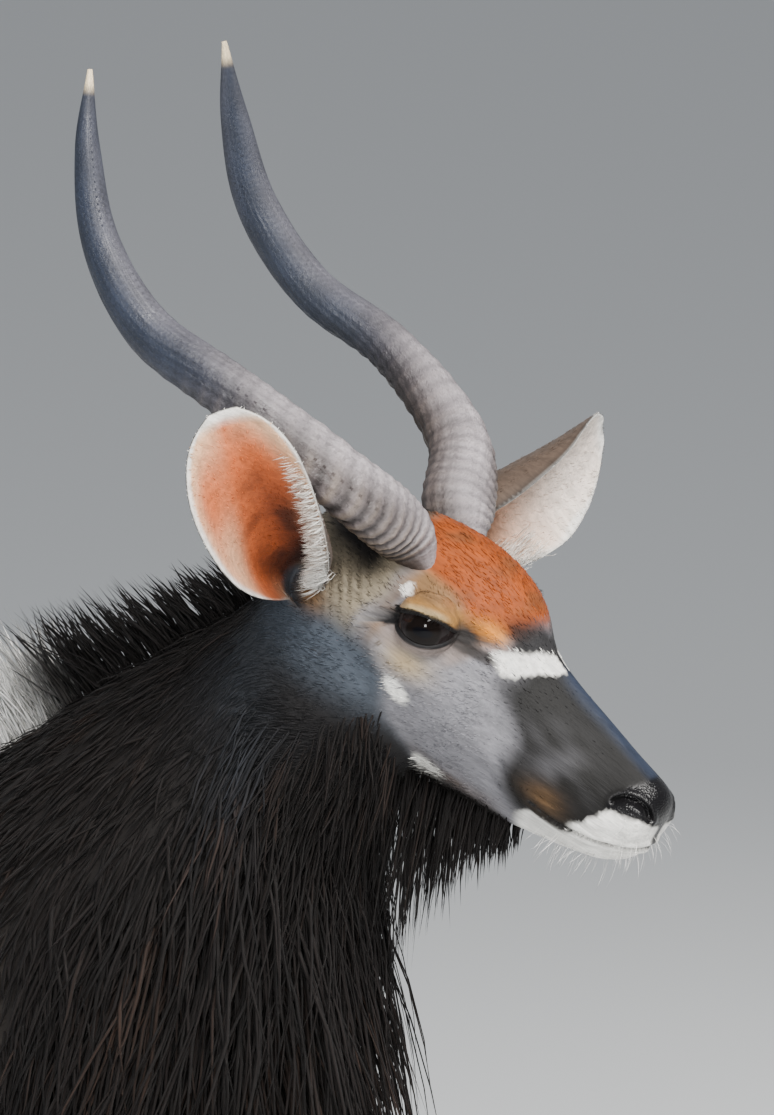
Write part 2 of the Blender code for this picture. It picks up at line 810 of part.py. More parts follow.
def fissure(side):
    """The almond between the lids, as a prism out from inside the eyeball."""
    centre = face_point(*EYE_CENTRE, side)
    out = eye_axis(side)
    along = (FORWARD - out * FORWARD.dot(out)).normalized()
    up = along.cross(out) * -side
    up = up if up.dot(UPWARD) > 0 else -up
    long = along * math.cos(FISSURE_TILT) + up * math.sin(FISSURE_TILT)
    high = up * math.cos(FISSURE_TILT) - along * math.sin(FISSURE_TILT)
    rings = []
    for depth in (0.35, 1.9):
        ring = []
        for t in np.linspace(0, 2 * math.pi, 16, endpoint=False):
            rise = math.sin(t) * abs(math.sin(t)) ** 0.35
            ring.append(centre + out * (EYE_RADIUS * depth)
                        + long * (FISSURE_LONG / 2 * math.cos(t))
                        + high * (FISSURE_HIGH / 2 * rise))
        rings.append(ring)
    return loft("fissure", rings)


def mouth_slit():
    """A thin blade along the line between the lips, to cut it."""
    line = list(MOUTH)
    line += [(a, -b, c) for a, b, c in reversed(MOUTH[:-1])]
    rings = []
    for along, across, up in spline(line, 25):
        place = face_point(along, across, up)
        out = (LEFT * across * 1.6 + FORWARD * max(along - 0.125, 0)).normalized()
        rise = FORWARD.cross(LEFT).normalized()
        rise = (rise - out * rise.dot(out)).normalized()
        rings.append([place + out * 0.012, place + rise * 0.0012,
                      place - out * 0.0055, place - rise * 0.0012])
    return loft("mouth_slit", rings)


def nostril_cut(side):
    """A comma-shaped hollow for one nostril."""
    bm = bmesh.new()
    centre = face_point(*NOSTRIL, side)
    bmesh.ops.create_uvsphere(bm, u_segments=10, v_segments=8, radius=1.0)
    turn = Matrix.Rotation(FACE_PITCH + 0.35, 4, "Y") @ Matrix.Rotation(side * 0.5, 4, "Z")
    bmesh.ops.scale(bm, verts=bm.verts, vec=(0.0085, 0.0065, 0.0042))
    bmesh.ops.transform(bm, verts=bm.verts, matrix=Matrix.Translation(centre) @ turn)
    return finished("nostril_cut", bm)


def head_node(draw):
    """The head, with lids, nostrils, the line of the mouth and a beard."""
    stub = [ring for ring in neck_rings() if ring[0].x > 0.50]
    head = merged("head", [loft("skull", head_rings()), loft("stub", stub)],
                  HEAD_VOXEL, 6)
    shape_forms(head, HEAD_FORMS, lambda a, b, c, side: face_point(a, b, c, side))
    thinned(head, HEAD_TRIANGLES)
    skin = Surface(head)
    eyes = [face_point(*EYE_CENTRE, side) for side in (1, -1)]
    added = [ball("lid", eye, EYE_RADIUS + LID_THICK) for eye in eyes]
    combine(head, added, "UNION")
    plain = copied(head, "plain_head")
    cuts = [fissure(1), fissure(-1), mouth_slit(), nostril_cut(1), nostril_cut(-1)]
    combine(head, cuts, "DIFFERENCE")
    combine(head, [beyond(HEAD_CUT, -1)], "DIFFERENCE")
    combine(head, throat_locks(skin, draw), "UNION")
    sockets = [eye_node(side, "socket", EYE_RADIUS + 1.1 * GAP) for side in (1, -1)]
    combine(head, sockets, "DIFFERENCE")
    return largest(simplified(head)), plain


def eye_node(side, name, radius=EYE_RADIUS):
    """An eyeball, turned so that its pole faces out."""
    bm = bmesh.new()
    turn = eye_axis(side).to_track_quat("Z", "Y").to_matrix().to_4x4()
    centre = Matrix.Translation(face_point(*EYE_CENTRE, side))
    bmesh.ops.create_uvsphere(bm, u_segments=12, v_segments=8, radius=radius,
                              matrix=centre @ turn)
    return finished(name, bm)


def horn_node(side, name, head, count=17, segments=10):
    """A horn with one keel that winds round it as it rises."""
    rows = spline(HORN, count)
    rings = []
    middle = [level_point(a, b, c, side) for a, b, c, _ in rows]
    across = LEFT * side
    for i, (_, _, _, radius) in enumerate(rows):
        run = (middle[min(i + 1, count - 1)] - middle[max(i - 1, 0)]).normalized()
        across = (across - run * across.dot(run)).normalized()
        over = run.cross(across) * side
        share = i / (count - 1)
        keel = HORN_TWIST * share - math.radians(60)
        ring = []
        for t in np.linspace(0, 2 * math.pi, segments, endpoint=False):
            edge = max(math.cos(t - keel), 0) ** 3 + 0.5 * max(-math.cos(t - keel), 0) ** 3
            reach = radius * (0.94 + HORN_KEEL * edge)
            ring.append(middle[i] + (across * math.cos(t) + over * math.sin(t)) * reach)
        rings.append(ring)
    obj = loft(name, rings)
    combine(obj, [swollen(head)], "DIFFERENCE")
    return largest(obj)


def ear_node(name, head, horn, rows=9, columns=9):
    """An ear, a curled leaf of skin with a real wall, rooted on the head."""
    side = 1 if name.endswith("left") else -1
    root, tip, facing, bow = EARS[name]
    start, end = level_point(*root, side), level_point(*tip, side)
    run = (end - start).normalized()
    length = (end - start).length
    way = Vector((facing[0], side * facing[1], facing[2]))
    open_way = (way - run * way.dot(run)).normalized()
    across = run.cross(open_way)
    bm = bmesh.new()
    grid = []
    for share, breadth, curl in spline(EAR_SHAPE, rows):
        share = max(share, -0.16)
        back = start + run * (share * length)
        bend = open_way * (bow * math.sin(math.pi * min(max(share, 0.0), 1.0)))
        line = []
        for t in np.linspace(-1, 1, columns):
            angle = t * min(breadth / curl, 2.75)
            line.append(bm.verts.new(
                back + bend - open_way * (curl * (math.cos(angle) - 0.55))
                + across * (curl * math.sin(angle))
            ))
        grid.append(line)
    for low, high in zip(grid, grid[1:]):
        for i in range(columns - 1):
            bm.faces.new((low[i], low[i + 1], high[i + 1], high[i]))
    mesh = bpy.data.meshes.new(name)
    bm.to_mesh(mesh)
    bm.free()
    obj = link(name, mesh)
    wall = obj.modifiers.new("wall", "SOLIDIFY")
    wall.thickness = EAR_THICK
    wall.offset = 0.0
    evaluated(obj)
    bm = bmesh.new()
    bm.from_mesh(obj.data)
    bmesh.ops.triangulate(bm, faces=bm.faces)
    bmesh.ops.recalc_face_normals(bm, faces=bm.faces)
    bm.to_mesh(obj.data)
    bm.free()
    combine(obj, [swollen(head), swollen(horn, EAR_CLEAR)], "DIFFERENCE")
    return largest(obj)


def turn_neck(obj):
    """Turns everything past the shoulder cut to the left, more the further it is."""
    points = coordinates(obj)
    origin, normal = TURN_PLANE
    past = (points - np.array(origin)) @ np.array(normal)
    share = np.clip((past - TURN_START) / (TURN_END - TURN_START), 0, 1)
    angle = HEAD_TURN * share * share * (3 - 2 * share)
    x, y = points[:, 0] - TURN_PIVOT.x, points[:, 1]
    points[:, 0] = TURN_PIVOT.x + x * np.cos(angle) - y * np.sin(angle)
    points[:, 1] = x * np.sin(angle) + y * np.cos(angle)
    set_coordinates(obj, points)


def body_nodes(head, draw):
    """The neck and the torso, parted from one skin, with mane, fringe and crest.

    The head turns with them, and the neck is then cut clear of both its neighbours.
    """
    parts = [loft("trunk", torso_rings()), loft("neck_form", neck_rings()),
             loft("skull", head_rings(24, 20))]
    for side in (1, -1):
        parts.append(loft("fore", leg_rings(FORELEG, side, 40, 24, low=0.50)))
        parts.append(loft("hind", leg_rings(HINDLEG, side, 40, 24, low=0.52)))
    torso = merged("torso", parts, BODY_VOXEL, 5)
    shape_forms(torso, BODY_FORMS, lambda a, b, c, side: Vector((a, side * b, c)))
    thinned(torso, BODY_TRIANGLES)
    skin = Surface(torso)
    neck = copied(torso, "neck")
    combine(neck, [beyond(SHOULDER_CUT, -1), beyond(HEAD_CUT, 1)], "DIFFERENCE")
    mane = neck_locks(skin, draw) + chest_locks(skin, draw)
    mane += crest_locks(skin, draw, *NECK_CREST)
    combine(neck, mane, "UNION")
    boxes = []
    for side in (1, -1):
        for x_low, x_high, top in ((0.20, 0.50, ELBOW_CUT), (-0.62, -0.26, STIFLE_CUT)):
            y_low, y_high = sorted((side * 0.054, side * 0.30))
            boxes.append(block((x_low, y_low, 0.2), (x_high, y_high, top + GAP / 2)))
    combine(torso, [beyond(SHOULDER_CUT, 1)] + boxes, "DIFFERENCE")
    fringe = brisket_locks(skin, draw) + belly_locks(skin, draw) + thigh_locks(skin, draw)
    fringe += crest_locks(skin, draw, *BACK_CREST)
    combine(torso, fringe, "UNION")
    largest(simplified(torso))
    for obj in (head, neck, torso):
        turn_neck(obj)
    combine(neck, [swollen(torso), swollen(head)], "DIFFERENCE")
    return largest(simplified(neck)), torso


def leg_node(name):
    """A leg from the elbow or stifle to the coronet."""
    side = 1 if name.endswith("left") else -1
    fore = name.startswith("fore")
    table = FORELEG if fore else HINDLEG
    top = (ELBOW_CUT if fore else STIFLE_CUT) - GAP / 2
    segments = 10
    rings = []
    heights = [top] + [z for z, *_ in spline(table, 27) if CORONET < z < top - 0.012]
    for height in heights + [CORONET]:
        _, x, y, deep, wide = leg_at(table, height)
        rings.append(upright_ring((x + deep, side * y, height), (x - deep, side * y, height),
                                  LEFT, wide, segments))
    leg = loft(name, rings)
    height, behind, spread, size = DEW_CLAW
    _, x, y, _, _ = leg_at(table, height)
    dews = [ball("dew", Vector((x - behind, side * y + spread * way, height)), size, 6, 5)
            for way in (1, -1)]
    return largest(combine(leg, dews, "UNION"))


def claw_node(leg, inner, name):
    """One of the two claws of a foot, flat below and pointed in front."""
    side = 1 if "left" in leg else -1
    table = FORELEG if leg.startswith("fore") else HINDLEG
    _, x, y, deep, _ = leg_at(table, CORONET)
    middle = side * y + (-side if inner else side) * (CLAW_WIDE / 2 + 0.0008)
    rings = []
    for share in (0.0, 0.35, 0.75, 1.0):
        z = (CORONET - GAP) * (1 - share)
        front = x + deep - 0.004 + (CLAW_LONG - 2 * deep) * share
        back = x - deep + 0.002 - 0.004 * share
        wide = CLAW_WIDE / 2 * (0.90 + 0.10 * share)
        ring = []
        for t in np.linspace(0, 2 * math.pi, 10, endpoint=False):
            reach = math.cos(t)
            pinch = 1 - 0.42 * max(reach, 0) ** 2
            ring.append(Vector(((front + back) / 2 + (front - back) / 2 * reach,
                                middle + wide * math.sin(t) * pinch, z)))
        rings.append(ring)
    return loft(name, rings)


def set_stride(obj, leg):
    """Slides a leg's lower end forwards or back, and keeps each ring level."""
    top = STRIDE_TOP[leg[:4]]
    points = coordinates(obj)
    share = np.clip((top - points[:, 2]) / (top - CORONET), 0, 1)
    points[:, 0] += STRIDE[leg] * share
    set_coordinates(obj, points)


COLOURS = {
    "head": (0.16, 0.11, 0.07, 0.75),
    "neck": (0.05, 0.035, 0.025, 0.80),
    "torso": (0.10, 0.075, 0.055, 0.80),
    "tail": (0.06, 0.04, 0.03, 0.80),
    "eye": (0.010, 0.007, 0.006, 0.05),
    "ear": (0.60, 0.36, 0.22, 0.70),
    "horn": (0.14, 0.13, 0.14, 0.45),
    "leg": (0.42, 0.20, 0.08, 0.75),
    "claw": (0.03, 0.025, 0.022, 0.40),
}


def finish_node(obj, kind, stand):
    """Gives a node its material and its own origin, under the animal's empty."""
    red, green, blue, rough = COLOURS[kind]
    material = bpy.data.materials.new(obj.name)
    material.use_nodes = True
    shader = material.node_tree.nodes["Principled BSDF"]
    shader.inputs["Base Color"].default_value = (red, green, blue, 1.0)
    shader.inputs["Roughness"].default_value = rough
    shader.inputs["Metallic"].default_value = 0.0
    obj.data.materials.clear()
    obj.data.materials.append(material)
    obj.data.shade_smooth()
    points = coordinates(obj) + np.array(MODEL_SHIFT)
    centre = (points.min(axis=0) + points.max(axis=0)) / 2
    set_coordinates(obj, points - centre)
    obj.location = centre
    obj.parent = stand


def main():
    """Builds the bull."""
    for obj in list(bpy.data.objects):
        bpy.data.objects.remove(obj)
    draw = random.Random(SEED)
    nodes = []
    head, plain_head = head_node(draw)
    neck, torso = body_nodes(head, draw)
    tail = tail_node(torso, draw)
    nodes += [(head, "head"), (neck, "neck"), (torso, "torso"), (tail, "tail")]
    for side, word in ((1, "left"), (-1, "right")):
        nodes.append((eye_node(side, "eye_" + word), "eye"))
        horn = horn_node(side, "horn_" + word, plain_head)
        nodes.append((horn, "horn"))
        nodes.append((ear_node("ear_" + word, plain_head, horn), "ear"))
    bpy.data.objects.remove(plain_head)
    for leg in STRIDE:
        limb = leg_node(leg)
        set_stride(limb, leg)
        nodes.append((limb, "leg"))
        for inner in (True, False):
            name = "claw_" + leg + ("_inner" if inner else "_outer")
            claw = claw_node(leg, inner, name)
            set_coordinates(claw, coordinates(claw) + np.array((STRIDE[leg], 0, 0)))
            nodes.append((claw, "claw"))
    stand = bpy.data.objects.new("nyala", None)
    bpy.context.scene.collection.objects.link(stand)
    for obj, kind in nodes:
        if kind in ("eye", "horn", "ear"):
            turn_neck(obj)
        finish_node(obj, kind, stand)


main()
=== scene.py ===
"""A life-size nyala bull in its coat, standing on a pale studio floor.

The bull is shaped straight and symmetric first, in metres, with X forwards, Y to its
left and Z up. Skin, tufts, horns, ears and eyes all take their places there, and the
last step turns the neck, sets the stride and moves the whole over the origin.
"""

import logging
import math
from collections.abc import Callable
from dataclasses import dataclass, field
from enum import Enum

import bmesh
import bpy
import numpy as np
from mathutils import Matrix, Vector
from mathutils.bvhtree import BVHTree
from mathutils.kdtree import KDTree


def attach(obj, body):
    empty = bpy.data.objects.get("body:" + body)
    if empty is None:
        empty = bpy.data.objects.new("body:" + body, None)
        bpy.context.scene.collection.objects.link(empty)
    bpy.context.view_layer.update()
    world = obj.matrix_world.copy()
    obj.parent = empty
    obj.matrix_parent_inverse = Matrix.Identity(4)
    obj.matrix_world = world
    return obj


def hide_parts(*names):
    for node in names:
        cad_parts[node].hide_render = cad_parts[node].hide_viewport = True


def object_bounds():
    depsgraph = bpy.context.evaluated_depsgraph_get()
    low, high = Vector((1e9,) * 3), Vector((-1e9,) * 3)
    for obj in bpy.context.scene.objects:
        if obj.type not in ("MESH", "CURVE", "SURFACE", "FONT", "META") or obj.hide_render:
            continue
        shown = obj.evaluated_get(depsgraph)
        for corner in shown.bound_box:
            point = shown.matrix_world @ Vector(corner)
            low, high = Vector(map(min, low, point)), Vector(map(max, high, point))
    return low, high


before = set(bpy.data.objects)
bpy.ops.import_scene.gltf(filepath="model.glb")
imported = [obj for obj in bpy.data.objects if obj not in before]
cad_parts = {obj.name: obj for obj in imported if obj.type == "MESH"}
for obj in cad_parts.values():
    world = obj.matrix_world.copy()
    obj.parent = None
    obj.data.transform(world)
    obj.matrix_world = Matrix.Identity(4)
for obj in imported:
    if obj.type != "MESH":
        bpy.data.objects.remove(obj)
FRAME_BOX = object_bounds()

log = logging.getLogger("nyala")

Array = np.ndarray
Colour = tuple[float, float, float]
Rows = tuple[tuple[float, ...], ...]
# How likely a root of hair is at points with normals, 0 to 1 for each.
Region = Callable[[Array, Array], Array]
MM = 0.001
CELL_KEY = np.array((73856093, 19349663, 83492791))
MOST_TRIANGLES = 190_000
SPARE = 0.008

# Head frame: along the face, to the left, and up out of the forehead.
EYE_LINE = np.array((0.775, 0.0, 1.245))
FACE_PITCH = math.radians(30)
FORWARD = np.array((math.cos(FACE_PITCH), 0.0, -math.sin(FACE_PITCH)))
LEFT = np.array((0.0, 1.0, 0.0))
UPWARD = np.array((math.sin(FACE_PITCH), 0.0, math.cos(FACE_PITCH)))

# Torso rings: x, top, bottom, half width.
TORSO: Rows = (
    (-0.612, 0.925, 0.8, 0.04),
    (-0.585, 0.965, 0.745, 0.09),
    (-0.52, 1.022, 0.69, 0.138),
    (-0.42, 1.068, 0.655, 0.162),
    (-0.29, 1.08, 0.64, 0.16),
    (-0.13, 1.068, 0.6, 0.182),
    (0.05, 1.062, 0.565, 0.194),
    (0.2, 1.082, 0.555, 0.18),
    (0.32, 1.102, 0.57, 0.16),
    (0.42, 1.08, 0.605, 0.145),
    (0.495, 1.015, 0.66, 0.122),
    (0.54, 0.935, 0.73, 0.085),
)
TORSO_WIDEST = 0.47
# Neck rings: top x and z, bottom x and z, half width.
NECK: Rows = (
    (0.23, 1.08, 0.43, 0.68, 0.146),
    (0.35, 1.1, 0.535, 0.765, 0.132),
    (0.45, 1.143, 0.588, 0.875, 0.112),
    (0.54, 1.198, 0.632, 0.975, 0.093),
    (0.612, 1.243, 0.668, 1.052, 0.078),
    (0.668, 1.282, 0.7, 1.115, 0.068),
    (0.715, 1.296, 0.735, 1.15, 0.058),
)
# Head rings: along the face, top, bottom, then half widths high, midway and low.
HEAD: Rows = (
    (-0.12, 0.004, -0.066, 0.034, 0.042, 0.036),
    (-0.098, 0.02, -0.086, 0.042, 0.052, 0.044),
    (-0.07, 0.033, -0.1, 0.045, 0.058, 0.047),
    (-0.042, 0.04, -0.109, 0.047, 0.061, 0.048),
    (-0.015, 0.042, -0.112, 0.05, 0.06, 0.044),
    (0.012, 0.038, -0.111, 0.046, 0.054, 0.039),
    (0.034, 0.029, -0.109, 0.036, 0.047, 0.035),
    (0.052, 0.013, -0.106, 0.029, 0.041, 0.032),
    (0.076, 0.004, -0.102, 0.024, 0.035, 0.029),
    (0.102, -0.003, -0.095, 0.021, 0.03, 0.026),
    (0.126, -0.01, -0.088, 0.021, 0.027, 0.024),
    (0.146, -0.015, -0.081, 0.023, 0.027, 0.021),
    (0.159, -0.019, -0.071, 0.021, 0.024, 0.016),
    (0.166, -0.028, -0.06, 0.012, 0.015, 0.009),
)
# Leg rings: height, x, y, half depth, half width.
FORELEG: Rows = (
    (0.985, 0.29, 0.08, 0.045, 0.05),
    (0.88, 0.325, 0.1, 0.085, 0.058),
    (0.76, 0.385, 0.112, 0.1, 0.06),
    (0.67, 0.378, 0.108, 0.085, 0.053),
    (0.6, 0.362, 0.1, 0.062, 0.044),
    (0.52, 0.362, 0.093, 0.043, 0.034),
    (0.43, 0.366, 0.089, 0.03, 0.026),
    (0.38, 0.37, 0.087, 0.031, 0.028),
    (0.33, 0.368, 0.086, 0.028, 0.025),
    (0.28, 0.364, 0.086, 0.02, 0.018),
    (0.18, 0.362, 0.086, 0.0185, 0.0165),
    (0.115, 0.364, 0.087, 0.0245, 0.022),
    (0.085, 0.372, 0.088, 0.0205, 0.02),
    (0.046, 0.388, 0.088, 0.027, 0.0265),
)
HINDLEG: Rows = (
    (1.0, -0.43, 0.075, 0.06, 0.05),
    (0.9, -0.465, 0.098, 0.115, 0.062),
    (0.8, -0.455, 0.11, 0.13, 0.068),
    (0.7, -0.415, 0.112, 0.112, 0.062),
    (0.62, -0.39, 0.107, 0.086, 0.051),
    (0.54, -0.412, 0.1, 0.062, 0.041),
    (0.46, -0.452, 0.094, 0.043, 0.03),
    (0.4, -0.486, 0.09, 0.037, 0.025),
    (0.355, -0.502, 0.088, 0.036, 0.025),
    (0.31, -0.498, 0.087, 0.029, 0.023),
    (0.26, -0.49, 0.086, 0.0215, 0.0185),
    (0.17, -0.478, 0.086, 0.0195, 0.017),
    (0.115, -0.47, 0.087, 0.0245, 0.022),
    (0.085, -0.462, 0.088, 0.0205, 0.02),
    (0.046, -0.446, 0.088, 0.027, 0.0265),
)
CORONET = 0.046
# Tail line: x, z, radius.
TAIL: Rows = (
    (-0.56, 0.99, 0.024),
    (-0.612, 0.968, 0.024),
    (-0.646, 0.905, 0.021),
    (-0.655, 0.82, 0.019),
    (-0.653, 0.73, 0.017),
    (-0.648, 0.64, 0.012),
)
# Horn line, level from the eye line: forwards, outwards, up, radius.
HORN_LINE: Rows = (
    (-0.024, 0.024, 0.026, 0.006),
    (-0.038, 0.034, 0.054, 0.0205),
    (-0.06, 0.074, 0.092, 0.02),
    (-0.118, 0.096, 0.14, 0.016),
    (-0.177, 0.097, 0.175, 0.0142),
    (-0.213, 0.093, 0.224, 0.0122),
    (-0.226, 0.087, 0.279, 0.0084),
    (-0.229, 0.079, 0.327, 0.0016),
)
# Rounded forms of the head: forwards, outwards, up, radius, amount.
HEAD_FORMS: Rows = (
    (-0.01, 0.058, 0.014, 0.022, 0.0062),
    (-0.012, 0.06, -0.026, 0.022, 0.0025),
    (0.03, 0.052, 0.0, 0.018, -0.003),
    (-0.04, 0.058, -0.012, 0.022, 0.003),
    (-0.03, 0.052, -0.075, 0.034, 0.0045),
    (0.06, 0.036, -0.038, 0.026, -0.003),
    (0.062, 0.03, -0.072, 0.02, -0.0025),
    (0.135, 0.024, -0.055, 0.013, 0.0022),
    (0.142, 0.02, -0.079, 0.013, 0.0015),
    (0.092, 0.027, -0.085, 0.02, -0.002),
    (-0.058, 0.036, 0.03, 0.02, 0.0075),
    (0.04, 0.046, -0.03, 0.012, 0.0016),
    (0.108, 0.026, -0.04, 0.016, 0.0012),
    (0.146, 0.024, -0.024, 0.008, 0.0016),
    (0.03, 0.04, -0.088, 0.016, 0.003),
    (-0.04, 0.028, 0.036, 0.014, 0.004),
)
# Rounded forms of the body: x, y, z, radius, amount.
BODY_FORMS: Rows = (
    (-0.265, 0.15, 0.8, 0.09, -0.016),
    (-0.335, 0.11, 1.045, 0.05, 0.01),
    (0.215, 0.175, 0.86, 0.07, -0.009),
    (0.395, 0.13, 0.79, 0.06, 0.008),
    (0.47, 0.11, 0.96, 0.06, -0.008),
    (-0.5, 0.14, 0.8, 0.07, 0.008),
    (0.33, 0.15, 0.905, 0.045, 0.006),
    (0.35, 0.105, 0.385, 0.016, 0.003),
    (0.388, 0.086, 0.375, 0.02, 0.0025),
    (-0.53, 0.086, 0.362, 0.016, 0.003),
    (-0.48, 0.11, 0.35, 0.014, 0.0022),
    (-0.4, 0.155, 0.66, 0.045, 0.006),
)


def srgb(red: int, green: int, blue: int) -> Colour:
    """A colour for the shaders from its screen values.

    Args:
        red: Red, 0 to 255.
        green: Green, 0 to 255.
        blue: Blue, 0 to 255.

    Returns:
        The same colour in linear light.
    """
    parts = [value / 255 for value in (red, green, blue)]
    return tuple(v / 12.92 if v < 0.04 else ((v + 0.055) / 1.055) ** 2.4 for v in parts)


def unit(vectors: Array) -> Array:
    """Vectors at length one, along the last axis."""
    size = np.linalg.norm(vectors, axis=-1, keepdims=True)
    return vectors / np.maximum(size, 1e-12)


def ease(low: float | Array, high: float | Array, value: float | Array) -> Array:
    """A soft step.

    Args:
        low: Where the step starts, at 0.
        high: Where it ends, at 1.
        value: The values to read.

    Returns:
        0 to 1 for each value.
    """
    share = np.clip((np.asarray(value) - low) / (np.asarray(high) - low), 0.0, 1.0)
    return share * share * (3 - 2 * share)


def bell(x: Array, middle: float, width: float) -> Array:
    """1 at a middle, falling away to both sides."""
    return np.exp(-((x - middle) / width) ** 2)


def hill(*runs: tuple[Array, float, float]) -> Array:
    """1 at a place given by several measures, each with its middle and width."""
    return np.exp(-sum(((x - middle) / width) ** 2 for x, middle, width in runs))


def spline(rows: Rows | Array, count: int) -> Array:
    """Rows of numbers drawn through smoothly.

    Args:
        rows: The rows to pass through.
        count: How many evenly spaced rows to make.

    Returns:
        The new rows.
    """
    rows = np.asarray(rows, float)
    ends = np.vstack([2 * rows[0] - rows[1], rows, 2 * rows[-1] - rows[-2]])
    place = np.linspace(0, len(rows) - 1, count)
    i = np.minimum(place.astype(int), len(rows) - 2)
    t = (place - i)[:, None]
    a, b, c, d = ends[i], ends[i + 1], ends[i + 2], ends[i + 3]
    return 0.5 * (2 * b + (c - a) * t + (2 * a - 5 * b + 4 * c - d) * t**2
        + (3 * b - a - 3 * c + d) * t**3)


def ripple(points: Array, size: float, seed: int) -> Array:
    """A smooth wandering value over space, made of a few crossing waves.

    Args:
        points: Where to read it.
        size: The distance over which it changes.
        seed: Which pattern.

    Returns:
        About -1 to 1 for each point.
    """
    draw = np.random.default_rng(seed)
    total = np.zeros(len(points))
    waves = 7
    for _ in range(waves):
        way = unit(draw.normal(size=3)) * draw.uniform(0.6, 1.7) * 2 * math.pi / (4 * size)
        total += np.sin(points @ way + draw.uniform(0, 2 * math.pi))
    return total / math.sqrt(waves)


def near_line(points: Array, line: Array) -> tuple[Array, Array]:
    """How far points lie from a bent line.

    Args:
        points: The points.
        line: The line's corners.

    Returns:
        The distance of each point, and how far along the line its foot is, 0 to 1.
    """
    best = np.full(len(points), 1e9)
    along = np.zeros(len(points))
    runs = np.linalg.norm(np.diff(line, axis=0), axis=1)
    total = runs.sum()
    passed = 0.0
    for start, end, run in zip(line, line[1:], runs):
        way = (end - start) / max(run, 1e-9)
        foot = np.clip((points - start) @ way, 0, run)
        away = np.linalg.norm(points - start - foot[:, None] * way, axis=1)
        closer = away < best
        best = np.where(closer, away, best)
        along = np.where(closer, (passed + foot) / total, along)
        passed += run
    return best, along


def level_points(rows: Rows | Array, side: int) -> Array:
    """Points given level from the eye line: forwards, outwards and up."""
    rows = np.asarray(rows, float)
    return EYE_LINE + rows[..., :3] * np.array((1, side, 1))


def face_points(rows: Rows | Array, side: int = 1) -> Array:
    """Points given along, outwards and out of the face."""
    rows = np.asarray(rows, float)
    return (EYE_LINE + rows[..., 0:1] * FORWARD + rows[..., 1:2] * side * LEFT
        + rows[..., 2:3] * UPWARD)


def to_face(points: Array) -> tuple[Array, Array, Array]:
    """Where points lie on the face, in millimetres.

    Args:
        points: Points of the straight model.

    Returns:
        Along the face, across it (left is positive), and up out of it.
    """
    away = (points - EYE_LINE) / MM
    return away @ FORWARD, away @ LEFT, away @ UPWARD


@dataclass(frozen=True)
class Stance:
    """How the straight model is set: stride, turned neck and place."""

    shift: tuple[float, float, float] = (-0.083, -0.039, 0.0)
    turn: float = math.radians(26)
    pivot_x: float = 0.5
    plane_point: tuple[float, float, float] = (0.375, 0.0, 1.11)
    plane_normal: tuple[float, float, float] = (0.894, 0.0, 0.447)
    turn_start: float = 0.03
    turn_end: float = 0.265
    fore_left: float = 0.045
    fore_right: float = -0.02
    hind_left: float = -0.055
    hind_right: float = 0.05
    fore_top: float = 0.56
    hind_top: float = 0.575
    clear_of_middle: tuple[float, float] = (0.036, 0.054)

    def set(self, points: Array) -> Array:
        """Moves points of the straight model to where they are on the floor.

        Args:
            points: Points of the straight model.

        Returns:
            Their places in the finished one.
        """
        placed = np.array(points, float)
        x, y, z = points.T
        step = np.where(x > 0, np.where(y > 0, self.fore_left, self.fore_right),
            np.where(y > 0, self.hind_left, self.hind_right))
        top = np.where(x > 0, self.fore_top, self.hind_top)
        share = np.clip((top - z) / (top - CORONET), 0, 1)
        placed[:, 0] += step * share * ease(*self.clear_of_middle, np.abs(y))
        past = (placed - np.array(self.plane_point)) @ np.array(self.plane_normal)
        share = np.clip((past - self.turn_start) / (self.turn_end - self.turn_start), 0, 1)
        angle = self.turn * share * share * (3 - 2 * share)
        x, y = placed[:, 0] - self.pivot_x, placed[:, 1].copy()
        placed[:, 0] = self.pivot_x + x * np.cos(angle) - y * np.sin(angle)
        placed[:, 1] = x * np.sin(angle) + y * np.cos(angle)
        return placed + np.array(self.shift)


STANCE = Stance()


def tube(rings: Array) -> bmesh.types.BMesh:
    """A closed skin through rings with the same number of points.

    Args:
        rings: Rings by points by three.

    Returns:
        A new bmesh with its faces turned out.
    """
    count, segments = rings.shape[:2]
    bm = bmesh.new()
    bmesh.ops.create_grid(bm, x_segments=segments, y_segments=count - 1, size=1.0)
    wrapped = np.concatenate([rings, rings[:, :1]], axis=1).reshape(-1, 3)
    for vert, place in zip(bm.verts, wrapped):
        vert.co = place
    bmesh.ops.remove_doubles(bm, verts=bm.verts[:], dist=1e-7)
    bmesh.ops.holes_fill(bm, edges=bm.edges[:], sides=0)
    bmesh.ops.recalc_face_normals(bm, faces=bm.faces[:])
    if bm.calc_volume(signed=True) < 0:
        bmesh.ops.reverse_faces(bm, faces=bm.faces[:])
    return bm


def added(name: str, pieces: list[bmesh.types.BMesh]) -> bpy.types.Object:
    """Puts bmeshes into one new object of the scene.

    Args:
        name: The object's name.
        pieces: The bmeshes, which are freed.

    Returns:
        The object.
    """
    mesh = bpy.data.meshes.new(name)
    whole = bmesh.new()
    for piece in pieces:
        part = bpy.data.meshes.new("part")
        piece.to_mesh(part)
        piece.free()
        whole.from_mesh(part)
        bpy.data.meshes.remove(part)
    whole.to_mesh(mesh)
    whole.free()
    obj = bpy.data.objects.new(name, mesh)
    bpy.context.scene.collection.objects.link(obj)
    return obj


def applied(obj: bpy.types.Object) -> bpy.types.Object:
    """Puts what the object's modifiers make in place of its mesh.

    Args:
        obj: The object.

    Returns:
        The same object.
    """
    graph = bpy.context.evaluated_depsgraph_get()
    mesh = bpy.data.meshes.new_from_object(obj.evaluated_get(graph))
    obj.modifiers.clear()
    obj.data = mesh
    return obj


def points_of(obj: bpy.types.Object) -> Array:
    """The object's points as rows."""
    found = np.empty(len(obj.data.vertices) * 3)
    obj.data.vertices.foreach_get("co", found)
    return found.reshape(-1, 3)


